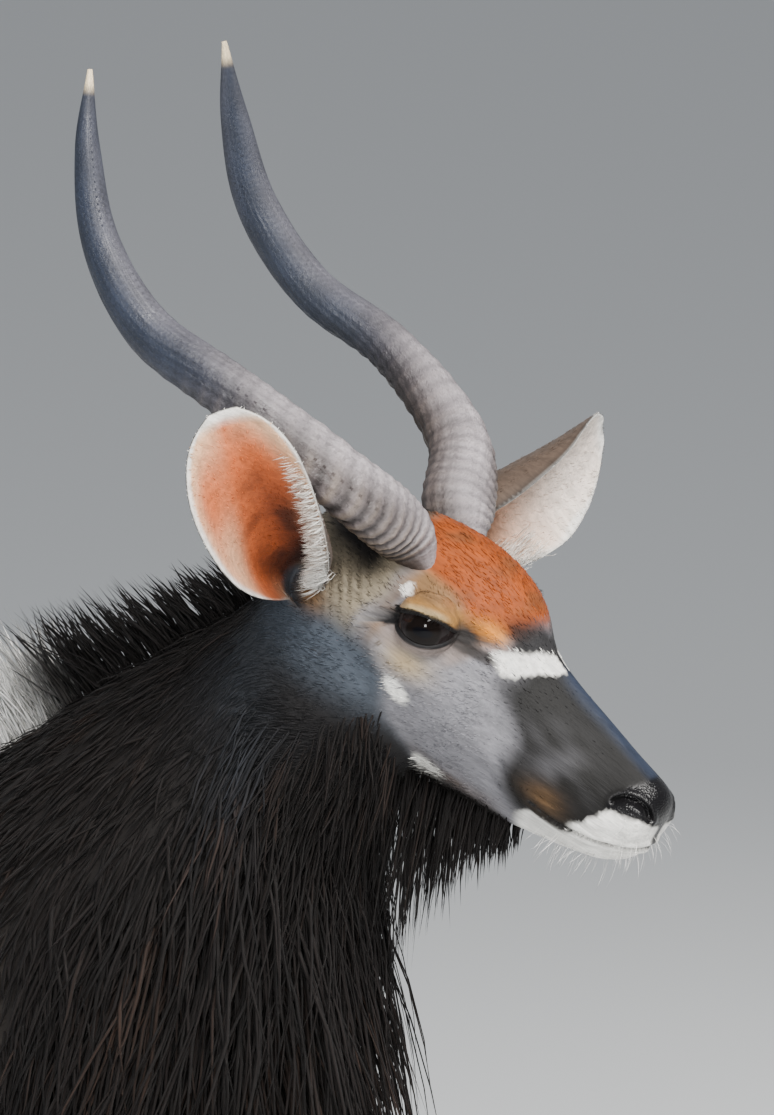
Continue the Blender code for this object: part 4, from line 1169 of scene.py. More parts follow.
@dataclass
class Markings:
    """Where each colour of the coat lies, read from the straight model's shape."""

    lines: dict[str, Array]

    def paint(self, points: Array) -> tuple[Array, Array]:
        """Colours points of the skin or roots of the coat.

        Args:
            points: Points of the straight model.

        Returns:
            Their colours, and how wet and bare the skin is there.
        """
        head = on_head(points)[:, None]
        face, wet = self.face(points)
        colour = self.body(points) * (1 - head) + face * head
        wet = wet * head[:, 0]
        for ear in EARS:
            colour = self.ear(points, colour, ear)
        return np.clip(colour, 0, 1), wet

    def body(self, points: Array) -> Array:
        """The neck, trunk, legs and tail.

        Args:
            points: Points of the straight model.

        Returns:
            Their colours.
        """
        x, y, z = points.T
        wide = np.abs(y)
        wander = ripple(points, 0.05, 11)
        coat = Paint(plain(PALETTE.body, len(points)))
        coat.tones *= (1 + 0.1 * ripple(points, 0.09, 3))[:, None]
        low = 1 - ease(0.6, 0.74, z + 0.02 * wander)
        coat.lay(PALETTE.belly, low * 0.9)
        stripe = np.zeros(len(points))
        for i in range(8):
            middle = 0.165 - 0.082 * i + 0.1 * (1.02 - z) ** 2 + 0.006 * wander
            line = 1 - ease(0.0025, 0.0065, np.abs(x - middle))
            length = 0.8 + 0.03 * math.sin(i * 2.3)
            stripe = np.maximum(stripe, line * ease(length - 0.03, length + 0.04, z))
        broken = 0.35 + 0.65 * ease(-0.8, 0.2, ripple(points, 0.03, 17))
        coat.lay(PALETTE.crest, 0.42 * stripe * broken * ease(0.02, 0.05, wide))
        for sx, sz, size in ((-0.42, 0.86, 0.011), (-0.47, 0.8, 0.01), (-0.44, 0.74, 0.009),
                (-0.5, 0.86, 0.008), (-0.4, 0.79, 0.007)):
            coat.lay(PALETTE.crest, 0.85 * oval(x, z, (sx, sz), size, size, 0)
                * ease(0.05, 0.09, wide))
        fore = (x > 0) & (wide > 0.045)
        tan = np.where(fore, 1 - ease(0.545, 0.615, z), 1 - ease(0.43, 0.56, z))
        tan = tan * ease(0.03, 0.05, wide)
        dark_thigh = ease(0.5, 0.6, z) * (1 - ease(0.66, 0.78, z)) * ease(0.04, 0.06, wide)
        coat.lay(PALETTE.mane, 0.55 * dark_thigh)
        coat.lay(PALETTE.leg, tan)
        front = ease(0.0, 0.02, x - np.where(x > 0, 0.372, -0.47))
        fetlock = bell(z, 0.135, 0.022) * front * tan
        coat.lay(PALETTE.white, 0.8 * fetlock)
        pastern = 1 - ease(0.05, 0.085, z)
        coat.lay(PALETTE.mane, 0.75 * pastern)
        hock = bell(z, 0.36, 0.04) * (x < 0) * ease(0.01, 0.03, -0.5 - x)
        coat.lay(PALETTE.mane, 0.5 * hock)
        neck = ease(-0.02, 0.03, ahead_of_shoulder(points) + 0.01 * wander)
        neck = np.maximum(neck * ease(0.3, 0.42, x), 0.45 * ease(0.25, 0.5, x))
        coat.lay(PALETTE.mane, neck * 0.97)
        chest = ease(0.36, 0.44, x) * (1 - ease(0.84, 0.98, z)) * ease(0.55, 0.6, z)
        coat.lay(PALETTE.mane, chest * (1 - tan))
        # Blue-grey on the upper neck by the head: the coat's dark grey with a painted sheen.
        side = hill((x, 0.685, 0.05), (z, 1.215, 0.045))
        coat.lay(PALETTE.blue_grey, 0.85 * side * ease(0.03, 0.05, wide))
        band = 1 - ease(0.01, 0.03, wide + 0.004 * wander)
        top = ease(0.95, 1.0, z)
        white_back = 1 - ease(0.45, 0.5, x)
        coat.lay(PALETTE.crest, band * top * white_back)
        coat.lay(PALETTE.mane, band * top * (1 - white_back))
        tail = (1 - ease(-0.64, -0.612, x)) * (wide < 0.06)
        coat.lay(PALETTE.belly, tail)
        return coat.tones

    def chevron(self, along: Array, across: Array) -> tuple[Array, Array]:
        """How far points lie ahead of the white bar's middle, and along it."""
        share = np.clip((31 - across) / (31 - 7.5), -0.3, 1.3)
        return along - (35.5 + 20.5 * share), share

    def face(self, points: Array) -> tuple[Array, Array]:
        """The face and its white marks.

        Args:
            points: Points of the straight model.

        Returns:
            Their colours and how wet they are.
        """
        along, across, up = to_face(points)
        across = np.abs(across)
        mirrored = points * np.array((1, 0, 1)) + np.abs(points) * np.array((0, 1, 0))
        wander = ripple(points, 0.012, 21)
        fine = ripple(points, 0.004, 22)
        coat = Paint(plain(PALETTE.cheek, len(points)))
        coat.tones *= (1 + 0.09 * wander)[:, None]
        temple = 1 - ease(-52, -36, along + 3 * wander)
        coat.lay(PALETTE.temple, temple)
        furrow = bell(along, -37, 5.5) * ease(-72, -40, up)
        coat.lay(PALETTE.brown, 0.65 * furrow * ease(34, 46, across))
        # Blue-grey at the back of the head and behind the cheek, here and below: the coat's dark
        # grey with a painted sheen.
        nape = (1 - ease(-96, -70, along)) * (1 - ease(-38, -24, up + 0.25 * (along + 70)))
        coat.lay(PALETTE.blue_grey, nape)
        jaw = (1 - ease(-100, -76, up + 3 * wander)) * (1 - ease(60, 86, along))
        coat.lay(PALETTE.brown, 0.55 * jaw * (0.8 + 0.4 * fine))
        lower_back = behind_cheek(along + 2.5 * wander, up) * (1 - ease(-44, -20, up))
        coat.lay(PALETTE.blue_grey, lower_back)
        coat.lay(PALETTE.mane, lower_back * (1 - ease(-90, -52, up)) * 0.95)
        dots = ease(2.1, 2.5, ripple(points, 0.0032, 23) + 0.5 * wander)
        coat.lay(PALETTE.fleck, 0.85 * dots * ease(-74, -60, up))
        gold_spot = hill((along, -84, 11), (up, -34, 8))
        coat.lay(PALETTE.gold, 0.55 * gold_spot * ease(40, 50, across))
        bound = np.interp(up, (-110, -90, -75, -66, -40, -17, -5, 3, 8, 14),
            (96, 90, 80, 74, 66, 48, 41, 46, 58, 62))
        dark = ease(-13, 11, along - bound + 3.5 * wander)
        coat.lay(PALETTE.muzzle, dark)
        grey = hill((along, 92, 26), (up, -38, 16))
        coat.lay(PALETTE.cheek, 0.12 * grey * (1 + fine))
        # Painted sheen: a narrow dark blue band of reflected light along the top of the nose.
        bridge_sheen = (1 - ease(2, 9, across)) * ease(56, 74, along) * ease(-34, -22, up)
        coat.lay(PALETTE.bridge_sheen, 0.7 * bridge_sheen)
        creases = hill((along, 101, 13), (up, -60, 8))
        coat.lay(PALETTE.brown, 0.95 * creases)
        brow = ease(0, 6, up) * (1 - ease(24, 36, along)) * ease(-46, -30, along)
        coat.lay(PALETTE.gold, 0.8 * brow)
        olive = hill((along, -22, 17), (up, 10, 8))
        coat.lay(PALETTE.brown, 0.55 * olive * ease(28, 40, across))
        low_rust = 17.0 - 7.0 * ease(-14, 12, along)
        rust = ease(-3.5, 3.5, up - low_rust + 1.2 * wander)
        rust *= 1 - ease(35, 45, along + 0.25 * across)
        crown = ease(-66, -50, along)
        coat.lay(PALETTE.rust, rust * crown)
        burnt = ease(0.2, 1.4, ripple(points * np.array((0.5, 1, 1)), 0.006, 24))
        coat.lay(PALETTE.brown, 0.45 * rust * crown * burnt)
        coat.lay(PALETTE.mane, (1 - crown) * ease(-12, 4, up))
        ember = hill((along, 21, 11), (up, 7, 6), (across, 31, 11))
        coat.lay(PALETTE.bright_gold, 1.05 * ember)
        ahead, share = self.chevron(along, across)
        shade = ease(-25, -14, ahead) * (1 - ease(-3, 1, ahead)) * ease(0.18, 0.5, share)
        coat.lay(PALETTE.muzzle, 0.92 * shade * ease(-8, 0, up))
        below = hill((along, -8, 15), (up, -30, 8.5))
        coat.lay(PALETTE.cream, 0.8 * below * ease(34, 44, across))
        for side in (1, -1):
            edge, x, y, _, _ = EYE.read(points, side)
            ring = 1 - ease(4.5, 9.0, edge)
            upper = ease(-2, 3, y)
            coat.lay(PALETTE.gold, 0.65 * ring * (0.35 + 0.65 * upper))
            pale = (1 - ease(2.2, 4.8, edge)) * upper * (1 - ease(8, 17, np.abs(x + 1)))
            coat.lay(PALETTE.cream, 0.85 * pale)
            coat.lay(PALETTE.nose, (1 - ease(0.9, 2.1, edge)) * (edge < 50))
            corner = (1 - ease(3, 8, edge)) * ease(15, 20, x)
            coat.lay(PALETTE.fleck, corner)
        away, _ = near_line(mirrored, self.lines["tear"])
        streak = 1 - ease(2.6, 5.4, away / MM)
        coat.lay(PALETTE.fleck, 0.92 * streak)
        white = 1 - ease(3.7 + 1.2 * share, 5.3 + 1.2 * share, np.abs(ahead) + 0.8 * fine)
        white *= ease(-0.06, 0.02, share) * ease(1.2, 2.6, across) * ease(-14, -8, up)
        coat.lay(PALETTE.white, white)
        spots = oval(along, up, (-6, -50), 9.6, 5.4, -0.54)
        spots = np.maximum(spots, oval(along, up, (25, -96), 13.0, 6.6, -0.26))
        coat.lay(PALETTE.white, spots * (across > 8))
        coat.lay(PALETTE.white, 0.85 * oval(along, up, (-34, 4), 4.0, 3.6, 0) * (across > 30))
        lip_top = np.interp(along, (118, 124, 130, 141, 160, 168), (-66, -63, -56, -41, -37, -40))
        lip = ease(119, 128, along) * (1 - ease(-1.5, 1.5, up - lip_top + 1.5 * fine))
        coat.lay(PALETTE.white, lip)
        chin_top = np.interp(along, (80, 94, 117, 126), (-88, -75, -74, -71))
        chin = ease(82, 92, along) * (1 - ease(-2, 2, up - chin_top))
        coat.lay(PALETTE.white, 0.93 * chin)
        back = np.interp(across, (0, 10, 16, 24), (148, 147, 142, 138))
        nose = ease(-2.5, 1.5, along - back) * ease(-1.5, 1.0, up - lip_top - 1.0)
        front = ease(157, 161, along) * (1 - ease(2.4, 4.0, across)) * ease(-57, -54, up)
        nose = np.maximum(nose, front)
        away, _ = near_line(mirrored, self.lines["nostril"])
        nose = np.maximum(nose, 1 - ease(3.4, 5.0, away / MM))
        coat.lay(PALETTE.nose, nose)
        away, _ = near_line(mirrored, self.lines["mouth"])
        lips = 1 - ease(0.9, 1.9, away / MM)
        coat.lay(PALETTE.nose, lips)
        beard = (1 - ease(9, 20, across)) * (1 - ease(-98, -88, up)) * (1 - ease(76, 86, along))
        coat.lay(PALETTE.mane, beard)
        return coat.tones, np.maximum(nose, lips)

    def ear(self, points: Array, colour: Array, ear: EarForm) -> Array:
        """Colours the points of one ear.

        Args:
            points: Points of the straight model.
            colour: Their colours so far.
            ear: The ear.

        Returns:
            The colours with the ear's own.
        """
        share, turn, lift, away = ear.read(points)
        held = (1 - ease(0.004, 0.009, away)) * ease(-0.02, 0.06, share)
        edge = np.abs(turn)
        wander = ripple(points, 0.014, 31)
        face_side = turn * -ear.side
        cup = Paint(plain(PALETTE.ear_peach, len(points)))
        warm = 1 - ease(0.3, 1.05, np.abs(face_side + 0.12) + 0.22 * wander
            + 0.3 * ease(0.6, 1.0, share))
        # The pale value lightens one ear's cup as painted light: less rust, white higher up, and a
        # dark streak.
        cup.lay(PALETTE.ear_rust, (0.95 - 0.6 * ear.pale) * warm)
        cup.lay(PALETTE.white, 0.7 * ear.pale * ease(0.3, 0.8, share))
        streak = hill((face_side, 0.4, 0.2), (share, 0.6, 0.18))
        cup.lay(PALETTE.ear_dark, 0.6 * ear.pale * streak * (1 + 0.3 * wander))
        # Painted shade: dark deep in the cup towards its root, on both ears.
        cup.lay(PALETTE.ear_dark, 0.92 * (1 - ease(0.08, 0.42, share + 0.12 * wander))
            * (1 - ease(0.3, 0.7, edge)))
        # Painted shade in the cup's hollow and deep inside, broken into streaks, strongest on the
        # ear that is not pale.
        shade_streaks = ease(0.3, 1.1, ripple(points * np.array((1, 1, 0.4)), 0.006, 33))
        hollow = bell(face_side, 0.22, 0.34) * (1 - ease(0.42, 0.86, share))
        cup.lay(PALETTE.ear_dark, (0.8 - 0.8 * ear.pale) * hollow)
        deep = (1 - ease(0.45, 0.85, share)) * (1 - ease(0.25, 0.6, np.abs(face_side - 0.1)))
        cup.lay(PALETTE.ear_dark, (0.6 - 0.45 * ear.pale) * shade_streaks * deep)
        rim = np.maximum(ease(0.86, 0.96, edge + 0.05 * wander), ease(0.945, 0.985, share))
        cup.lay(PALETTE.white, rim * 0.95)
        back = Paint(plain(PALETTE.ear_back, len(points)))
        back.lay(PALETTE.mane, np.maximum(ease(0.9, 0.99, edge), ease(0.93, 0.99, share)))
        outside = ease(-0.0006, 0.0006, lift)[:, None]
        mine = cup.tones * (1 - outside) + back.tones * outside
        return colour * (1 - held[:, None]) + mine * held[:, None]


class Chart(Enum):
    """The parts of the skin, each with its own rectangle: left, low, right and high."""

    TRUNK = (0.01, 0.31, 0.7, 0.99)
    HEAD = (0.72, 0.55, 0.99, 0.99)
    FORE_LEFT = (0.01, 0.01, 0.16, 0.28)
    FORE_RIGHT = (0.18, 0.01, 0.33, 0.28)
    HIND_LEFT = (0.35, 0.01, 0.5, 0.28)
    HIND_RIGHT = (0.52, 0.01, 0.67, 0.28)
    TAIL = (0.72, 0.31, 0.79, 0.53)
    EAR_RIGHT = (0.81, 0.31, 0.89, 0.53)
    EAR_LEFT = (0.91, 0.31, 0.99, 0.53)


CHARTS = tuple(Chart)
LEG_CHARTS = {Chart.FORE_LEFT: (FORELEG, 1), Chart.FORE_RIGHT: (FORELEG, -1),
              Chart.HIND_LEFT: (HINDLEG, 1), Chart.HIND_RIGHT: (HINDLEG, -1)}


def charts_of(points: Array) -> Array:
    """Which chart each point of the straight model belongs to, by number.

    Args:
        points: Points of the straight model.

    Returns:
        The number of each one's chart.
    """
    x, y, z = points.T
    number = np.zeros(len(points), dtype=int)
    number[on_head(points) > 0.5] = CHARTS.index(Chart.HEAD)
    low = (z < 0.56) & (np.abs(y) > 0.03)
    for chart, (_, side) in LEG_CHARTS.items():
        ahead = x > 0 if chart.name.startswith("FORE") else x < 0
        number[low & ahead & (y * side > 0)] = CHARTS.index(chart)
    number[(x < -0.634) & (np.abs(y) < 0.05)] = CHARTS.index(Chart.TAIL)
    for ear, chart in zip(EARS, (Chart.EAR_RIGHT, Chart.EAR_LEFT)):
        share, _, _, away = ear.read(points)
        number[(away < 0.006) & (share > 0.04)] = CHARTS.index(chart)
    return number


def laid_flat(points: Array, number: Array, middles: Array) -> Array:
    """The flat place of points on their charts.

    Args:
        points: Points of the straight model.
        number: The chart of each.
        middles: For each point, a point close by that says which way round to unroll.

    Returns:
        Two numbers from 0 to 1 for each.
    """
    flat = np.zeros((len(points), 2))

    def unrolled(chosen: Array, at: Callable[[Array], tuple[Array, Array, Array]]) -> None:
        """Unrolls the chosen points about a line, without a tear inside one face.

        Args:
            chosen: Which points.
            at: Gives points' share along the line and two ways off it.
        """
        share, a, b = at(points[chosen])
        _, ma, mb = at(middles[chosen])
        middle, here = np.arctan2(ma, mb), np.arctan2(a, b)
        turn = middle + (here - middle + math.pi) % (2 * math.pi) - math.pi
        flat[chosen] = np.stack([share, 0.5 + 0.47 * turn / math.pi], 1)

    trunk = spline(TORSO, 80)
    neck = spline(NECK, 60)
    axis_x = np.concatenate([trunk[:50, 0], (neck[20:, 0] + neck[20:, 2]) / 2])
    axis_z = np.concatenate([(trunk[:50, 1] + trunk[:50, 2]) / 2,
        (neck[20:, 1] + neck[20:, 3]) / 2])
    order = np.argsort(axis_x)
    axis_x, axis_z = axis_x[order], axis_z[order]
    for i, chart in enumerate(CHARTS):
        chosen = np.nonzero(number == i)[0]
        if len(chosen) == 0:
            continue
        if chart is Chart.TRUNK:
            unrolled(chosen, lambda p: ((p[:, 0] + 0.72) / 1.5, p[:, 1],
                p[:, 2] - np.interp(p[:, 0], axis_x, axis_z)))
        elif chart is Chart.HEAD:
            unrolled(chosen, lambda p: ((to_face(p)[0] + 140) / 312, to_face(p)[1],
                to_face(p)[2] + 45))
        elif chart in LEG_CHARTS:
            table, side = LEG_CHARTS[chart]
            rows = spline(table, 80)[::-1]
            unrolled(chosen, lambda p: (p[:, 2] / 0.57,
                p[:, 1] - side * np.interp(p[:, 2], rows[:, 0], rows[:, 2]),
                p[:, 0] - np.interp(p[:, 2], rows[:, 0], rows[:, 1])))
        elif chart is Chart.TAIL:
            unrolled(chosen, lambda p: ((p[:, 2] - 0.55) / 0.45, p[:, 1], p[:, 0] + 0.652))
        else:
            ear = EARS[0] if chart is Chart.EAR_RIGHT else EARS[1]
            share, turn, _, _ = ear.read(points[chosen])
            outside = ear.read(middles[chosen])[2] > 0
            flat[chosen] = np.stack([np.clip(turn, -1, 1) * 0.235 + 0.25 + 0.5 * outside,
                np.clip(share, 0, 1)], 1)
        left, bottom, right, top = chart.value
        flat[chosen] = (np.array((left, bottom)) + np.clip(flat[chosen], 0, 1)
            * np.array((right - left, top - bottom)))
    return flat


def behind_cheek(along: Array, up: Array) -> Array:
    """1 behind the cheek's back edge, where the neck's darker coat starts, 0 before it."""
    edge_at = np.interp(up, (-112, -96, -50, -30, -10), (26, 14, -17, -33, -40))
    return 1 - ease(-9, 5, along - edge_at)


def neck_read(points: Array) -> tuple[Array, Array]:
    """Reads points against the neck.

    Args:
        points: Points of the straight model.

    Returns:
        How far up the neck each lies, and how far down from its crest to its throat,
        both 0 to 1.
    """
    rows = spline(NECK, 60)
    top, throat = rows[:, [0, 1]], rows[:, [2, 3]]
    best = np.full(len(points), 1e9)
    share, low = np.zeros(len(points)), np.zeros(len(points))
    here = points[:, [0, 2]]
    for i, (high, bottom) in enumerate(zip(top, throat)):
        way = bottom - high
        foot = np.clip((here - high) @ way / (way @ way), 0, 1)
        away = np.linalg.norm(here - high - foot[:, None] * way, axis=1)
        closer = away < best
        best = np.where(closer, away, best)
        share = np.where(closer, i / (len(rows) - 1), share)
        low = np.where(closer, foot, low)
    return share, low


def ahead_of_shoulder(points: Array) -> Array:
    """How far points lie ahead of the line where the mane meets the shoulder."""
    line = np.interp(points[:, 2], (0.8, 0.944, 1.03, 1.075, 1.13),
        (0.47, 0.535, 0.52, 0.45, 0.25))
    return points[:, 0] - line


def lie_of(points: Array, normals: Array) -> Array:
    """Which way the hair lies.

    Args:
        points: Points of the straight skin.
        normals: The skin's normals there.

    Returns:
        Directions along the skin.
    """
    x, y, z = points.T

    def turned(lie: Array, way: Array | tuple[float, float, float], mask: Array) -> Array:
        """Turns the lie another way where a mask says."""
        return lie * (1 - mask[:, None]) + np.asarray(way) * mask[:, None]

    lie = np.tile(np.array((-0.8, 0.0, -0.4)), (len(points), 1))
    lie = turned(lie, (-0.12, 0.0, -1.0), 1 - ease(0.5, 0.7, z))
    lie = turned(lie, (-0.42, 0.0, -0.9), ease(0.3, 0.44, x - 0.35 * (0.95 - z)))
    lie = turned(lie, (0.0, 0.0, -1.0), 1.0 * ((x < -0.625) & (np.abs(y) < 0.05)))
    along, _, up = to_face(points)
    face = -FORWARD - UPWARD * (0.45 * (1 - ease(-30, 6, up)) * (1 - ease(10, 90, along)))[:, None]
    for side in (1, -1):
        away = points - EYE.axes(side)[0]
        far = np.linalg.norm(away, axis=1) / MM
        round_eye = bell(far, 18, 11) * (far < 60)
        face = face + UPWARD * (away @ UPWARD / MM / np.maximum(far, 1) * round_eye * 1.1)[:, None]
    lie = turned(lie, face, on_head(points))
    for ear in EARS:
        _, run, _, sideways, _ = ear.axes()
        _, turn, lift, far = ear.read(points)
        inside = (1 - ease(-0.0006, 0.0006, lift))
        way = run + sideways * (np.clip(turn, -1, 1) * 0.8 * inside)[:, None]
        lie = turned(lie, way, 1 - ease(0.005, 0.01, far))
    return unit(lie - normals * np.sum(lie * normals, axis=1, keepdims=True))


@dataclass
class Roots:
    """Where locks are rooted on the straight skin."""

    points: Array
    normals: Array
    flat: Array
    colours: Array


@dataclass
class Ground:
    """The finished skin, read for places where hair can be rooted."""

    skin: Skin
    markings: Markings
    flat: Array

    def __post_init__(self) -> None:
        """Reads the skin's faces."""
        self.faces = triangles_of(self.skin.obj)
        self.points = self.skin.straight
        self.normals = self.skin.normals
        corners = self.points[self.faces]
        self.centres = corners.mean(axis=1)
        crossed = np.cross(corners[:, 1] - corners[:, 0], corners[:, 2] - corners[:, 0])
        self.areas = np.linalg.norm(crossed, axis=1) / 2
        self.facing = unit(crossed)

    def roots(self, spacing: float, region: Region, seed: int) -> Roots:
        """Scatters roots evenly over a part of the skin.

        Args:
            spacing: About how far apart they stand, in metres.
            region: How likely a root is at points with normals, 0 to 1.
            seed: Which scatter.

        Returns:
            The roots.
        """
        spacing = spacing * 1.0
        draw = np.random.default_rng(seed)
        faces = np.nonzero(region(self.centres, self.facing) > 0.001)[0]
        sums = np.cumsum(self.areas[faces])
        count = int(sums[-1] / spacing**2 * 2.4) + 1
        picked = faces[np.searchsorted(sums, draw.random(count) * sums[-1])]
        mix = draw.random((count, 2))
        mix = np.where(mix.sum(axis=1, keepdims=True) > 1, 1 - mix, mix)
        mix = np.concatenate([1 - mix.sum(axis=1, keepdims=True), mix], axis=1)[:, :, None]
        points = (self.points[self.faces[picked]] * mix).sum(axis=1)
        normals = unit((self.normals[self.faces[picked]] * mix).sum(axis=1))
        flat = (self.flat[picked] * mix).sum(axis=1)
        cells = np.floor(points / spacing).astype(np.int64)
        key = cells @ CELL_KEY
        first = np.unique(key, return_index=True)[1]
        first = first[draw.random(len(first)) < region(points[first], normals[first])]
        colours, wet = self.markings.paint(points[first])
        dry = first[wet < 0.5]
        return Roots(points[dry], normals[dry], flat[dry], colours[wet < 0.5])


@dataclass(frozen=True)
class LockStyle:
    """How one kind of hair is shaped and coloured."""

    rings: int = 2
    thick: float = 0.34
    vary: float = 0.22
    stray: float = 0.12
    lift: float = 0.25
    droop: float = 0.0
    wave: float = 0.0
    roll: float = 0.35
    belly: float = 0.28
    root_shade: float = 0.72
    tip_shade: float = 1.12
    patchy: float = 0.1
    sunk: float = 0.0006
    clump: float = 0.0
    clump_size: float = 0.02


def locks(name: str, roots: Roots, lie: Array, length: Array | float,
        width: Array | float, style: LockStyle, seed: int) -> list[bpy.types.Object]:
    """Builds thin closed locks of hair as joined meshes.

    Args:
        name: The pieces' name.
        roots: Where they stand.
        lie: Which way each settles.
        length: How long each is, in metres.
        width: How wide each is, in metres.
        style: Their shape and shading.
        seed: Which of their chance differences.

    Returns:
        The pieces.
    """
    count = len(roots.points)
    draw = np.random.default_rng(seed)
    length = length * (1 + style.vary * draw.uniform(-1, 1, count))
    width = width * (1 + style.vary * draw.uniform(-1, 1, count))
    normals = roots.normals
    side = unit(np.cross(normals, lie))
    lie = unit(lie + side * (style.stray * draw.normal(size=count))[:, None])
    lift = np.clip(style.lift * (1 + 0.45 * draw.normal(size=count)), 0.02, 0.98)[:, None]
    roll = style.roll * draw.normal(size=count)
    phase = draw.uniform(0, 2 * math.pi, count)
    bright = np.clip(1 + style.patchy * draw.normal(size=count), 0.6, 1.6)[:, None]
    levels = style.rings
    place = roots.points - normals * style.sunk
    pull = gathered(roots.points, style.clump_size) * style.clump
    pull -= normals * np.sum(pull * normals, axis=1, keepdims=True)
    rows, shades = [], []
    for level in range(levels + 1):
        share = level / levels
        up_part = lift * (1 - share) ** 1.4
        heading = normals * up_part + lie * (1 - up_part)
        heading = heading + np.array((0, 0, -style.droop * share))
        swing = style.wave * np.sin(phase + 5.5 * share)
        heading = unit(heading + side * swing[:, None])
        across = unit(np.cross(heading, normals))
        over_it = np.cross(across, heading)
        turn = (roll * (0.4 + share))[:, None]
        wide_way = across * np.cos(turn) + over_it * np.sin(turn)
        high_way = over_it * np.cos(turn) - across * np.sin(turn)
        shades.append(style.root_shade + (style.tip_shade - style.root_shade) * share)
        drawn = place + pull * share**1.3
        if level == levels:
            rows.append(drawn[:, None])
            break
        if share < style.belly:
            grow = 0.55 + 0.45 * share / style.belly
        else:
            grow = 1 - 0.8 * ((share - style.belly) / (1 - style.belly)) ** 1.5
        half = (width * grow / 2)[:, None]
        rows.append(np.stack([drawn - wide_way * half, drawn + wide_way * half,
            drawn + high_way * half * 2 * style.thick], axis=1))
        place = place + heading * (length / levels)[:, None]
    points = np.concatenate(rows, axis=1)
    corners = 3 * levels + 1
    faces = [(0, 1, 2)]
    for level in range(levels - 1):
        for i, j in ((0, 1), (1, 2), (2, 0)):
            a, b, c, d = 3 * level + i, 3 * level + j, 3 * level + 3 + i, 3 * level + 3 + j
            faces += [(a, c, d), (a, d, b)]
    faces += [(3 * levels - 3 + i, corners - 1, 3 * levels - 3 + j)
        for i, j in ((0, 1), (1, 2), (2, 0))]
    pattern = np.array(faces)
    level_of = np.minimum(np.arange(corners) // 3, levels)
    place_across = np.array([0.0, 1.0, 0.5] * levels + [0.5])
    place_along = level_of / levels
    shade = np.array(shades)[level_of]
    tone = np.concatenate([(roots.colours * bright)[:, None] * shade[None, :, None],
        np.zeros((count, corners, 1))], axis=2)
    strand = np.stack([draw.random(count)[:, None] * 60 + place_across * width[:, None] * 1e3,
        draw.random(count)[:, None] * 60 + place_along * length[:, None] * 1e3], axis=2)
    baked = roots.flat[:, None] + 0.003 * (np.stack([place_across, place_along], 1) - 0.5)
    made = []
    most = MOST_TRIANGLES // len(pattern)
    set_out = STANCE.set(points.reshape(-1, 3)).reshape(points.shape)
    low, high = (np.array(corner) for corner in FRAME_BOX)
    inside = np.all((set_out > low - SPARE) & (set_out < high + SPARE), axis=(1, 2))
    order = np.argsort(roots.points[:, 0], kind="stable")
    order = order[inside[order]]
    pieces = max(1, math.ceil(len(order) / most))
    for i, chosen in enumerate(np.array_split(order, pieces)):
        label = f"{name}_{i + 1}" if pieces > 1 else name
        made.append(mesh_of(label, set_out[chosen].reshape(-1, 3),
            (pattern[None] + corners * np.arange(len(chosen))[:, None, None]),
            tone[chosen].reshape(-1, 4), baked[chosen].reshape(-1, 2),
            strand[chosen].reshape(-1, 2)))
    log.info("%s: %d locks, %d triangles, %d left out", name, len(order),
        len(order) * len(pattern), count - len(order))
    return made


def gathered(points: Array, size: float) -> Array:
    """How far each point lies from the middle of its clump.

    Args:
        points: The locks' roots.
        size: How wide a clump is.

    Returns:
        The way from each point to its clump's middle.
    """
    shifted = points + 0.4 * size * np.stack([ripple(points, size, 61 + i) for i in range(3)], 1)
    cells = np.floor(shifted / size).astype(np.int64)
    key = cells @ CELL_KEY
    _, group = np.unique(key, return_inverse=True)
    group = group.ravel()
    number = np.bincount(group)
    middle = np.stack([np.bincount(group, points[:, i]) / number for i in range(3)], 1)
    return middle[group] - points


def mesh_of(name: str, points: Array, faces: Array, tone: Array, baked: Array,
        strand: Array) -> bpy.types.Object:
    """Joins many small closed forms into one object.

    Args:
        name: The object's name.
        points: Its points in place.
        faces: Its triangles.
        tone: The colour at each point.
        baked: Where each point lies on the baked picture.
        strand: Each point's place across and along its hair, in millimetres.

    Returns:
        The object.
    """
    faces = faces.reshape(-1, 3)
    mesh = bpy.data.meshes.new(name)
    mesh.vertices.add(len(points))
    mesh.vertices.foreach_set("co", np.ascontiguousarray(points).ravel())
    mesh.loops.add(faces.size)
    mesh.loops.foreach_set("vertex_index", faces.ravel())
    mesh.polygons.add(len(faces))
    mesh.polygons.foreach_set("loop_start", np.arange(0, faces.size, 3))
    mesh.polygons.foreach_set("use_smooth", np.ones(len(faces), dtype=bool))
    mesh.update(calc_edges=True)
    colour = mesh.color_attributes.new(name="coat", type="FLOAT_COLOR", domain="POINT")
    colour.data.foreach_set("color", np.ascontiguousarray(tone).ravel())
    for layer, flat in (("OFBake", baked), ("strand", strand)):
        uv = mesh.uv_layers.new(name=layer)
        uv.data.foreach_set("uv", np.ascontiguousarray(flat[faces.ravel()]).ravel())
    obj = bpy.data.objects.new(name, mesh)
    bpy.context.scene.collection.objects.link(obj)
    obj.data.materials.append(FurFinish.shared())
    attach(obj, "root")
    return obj


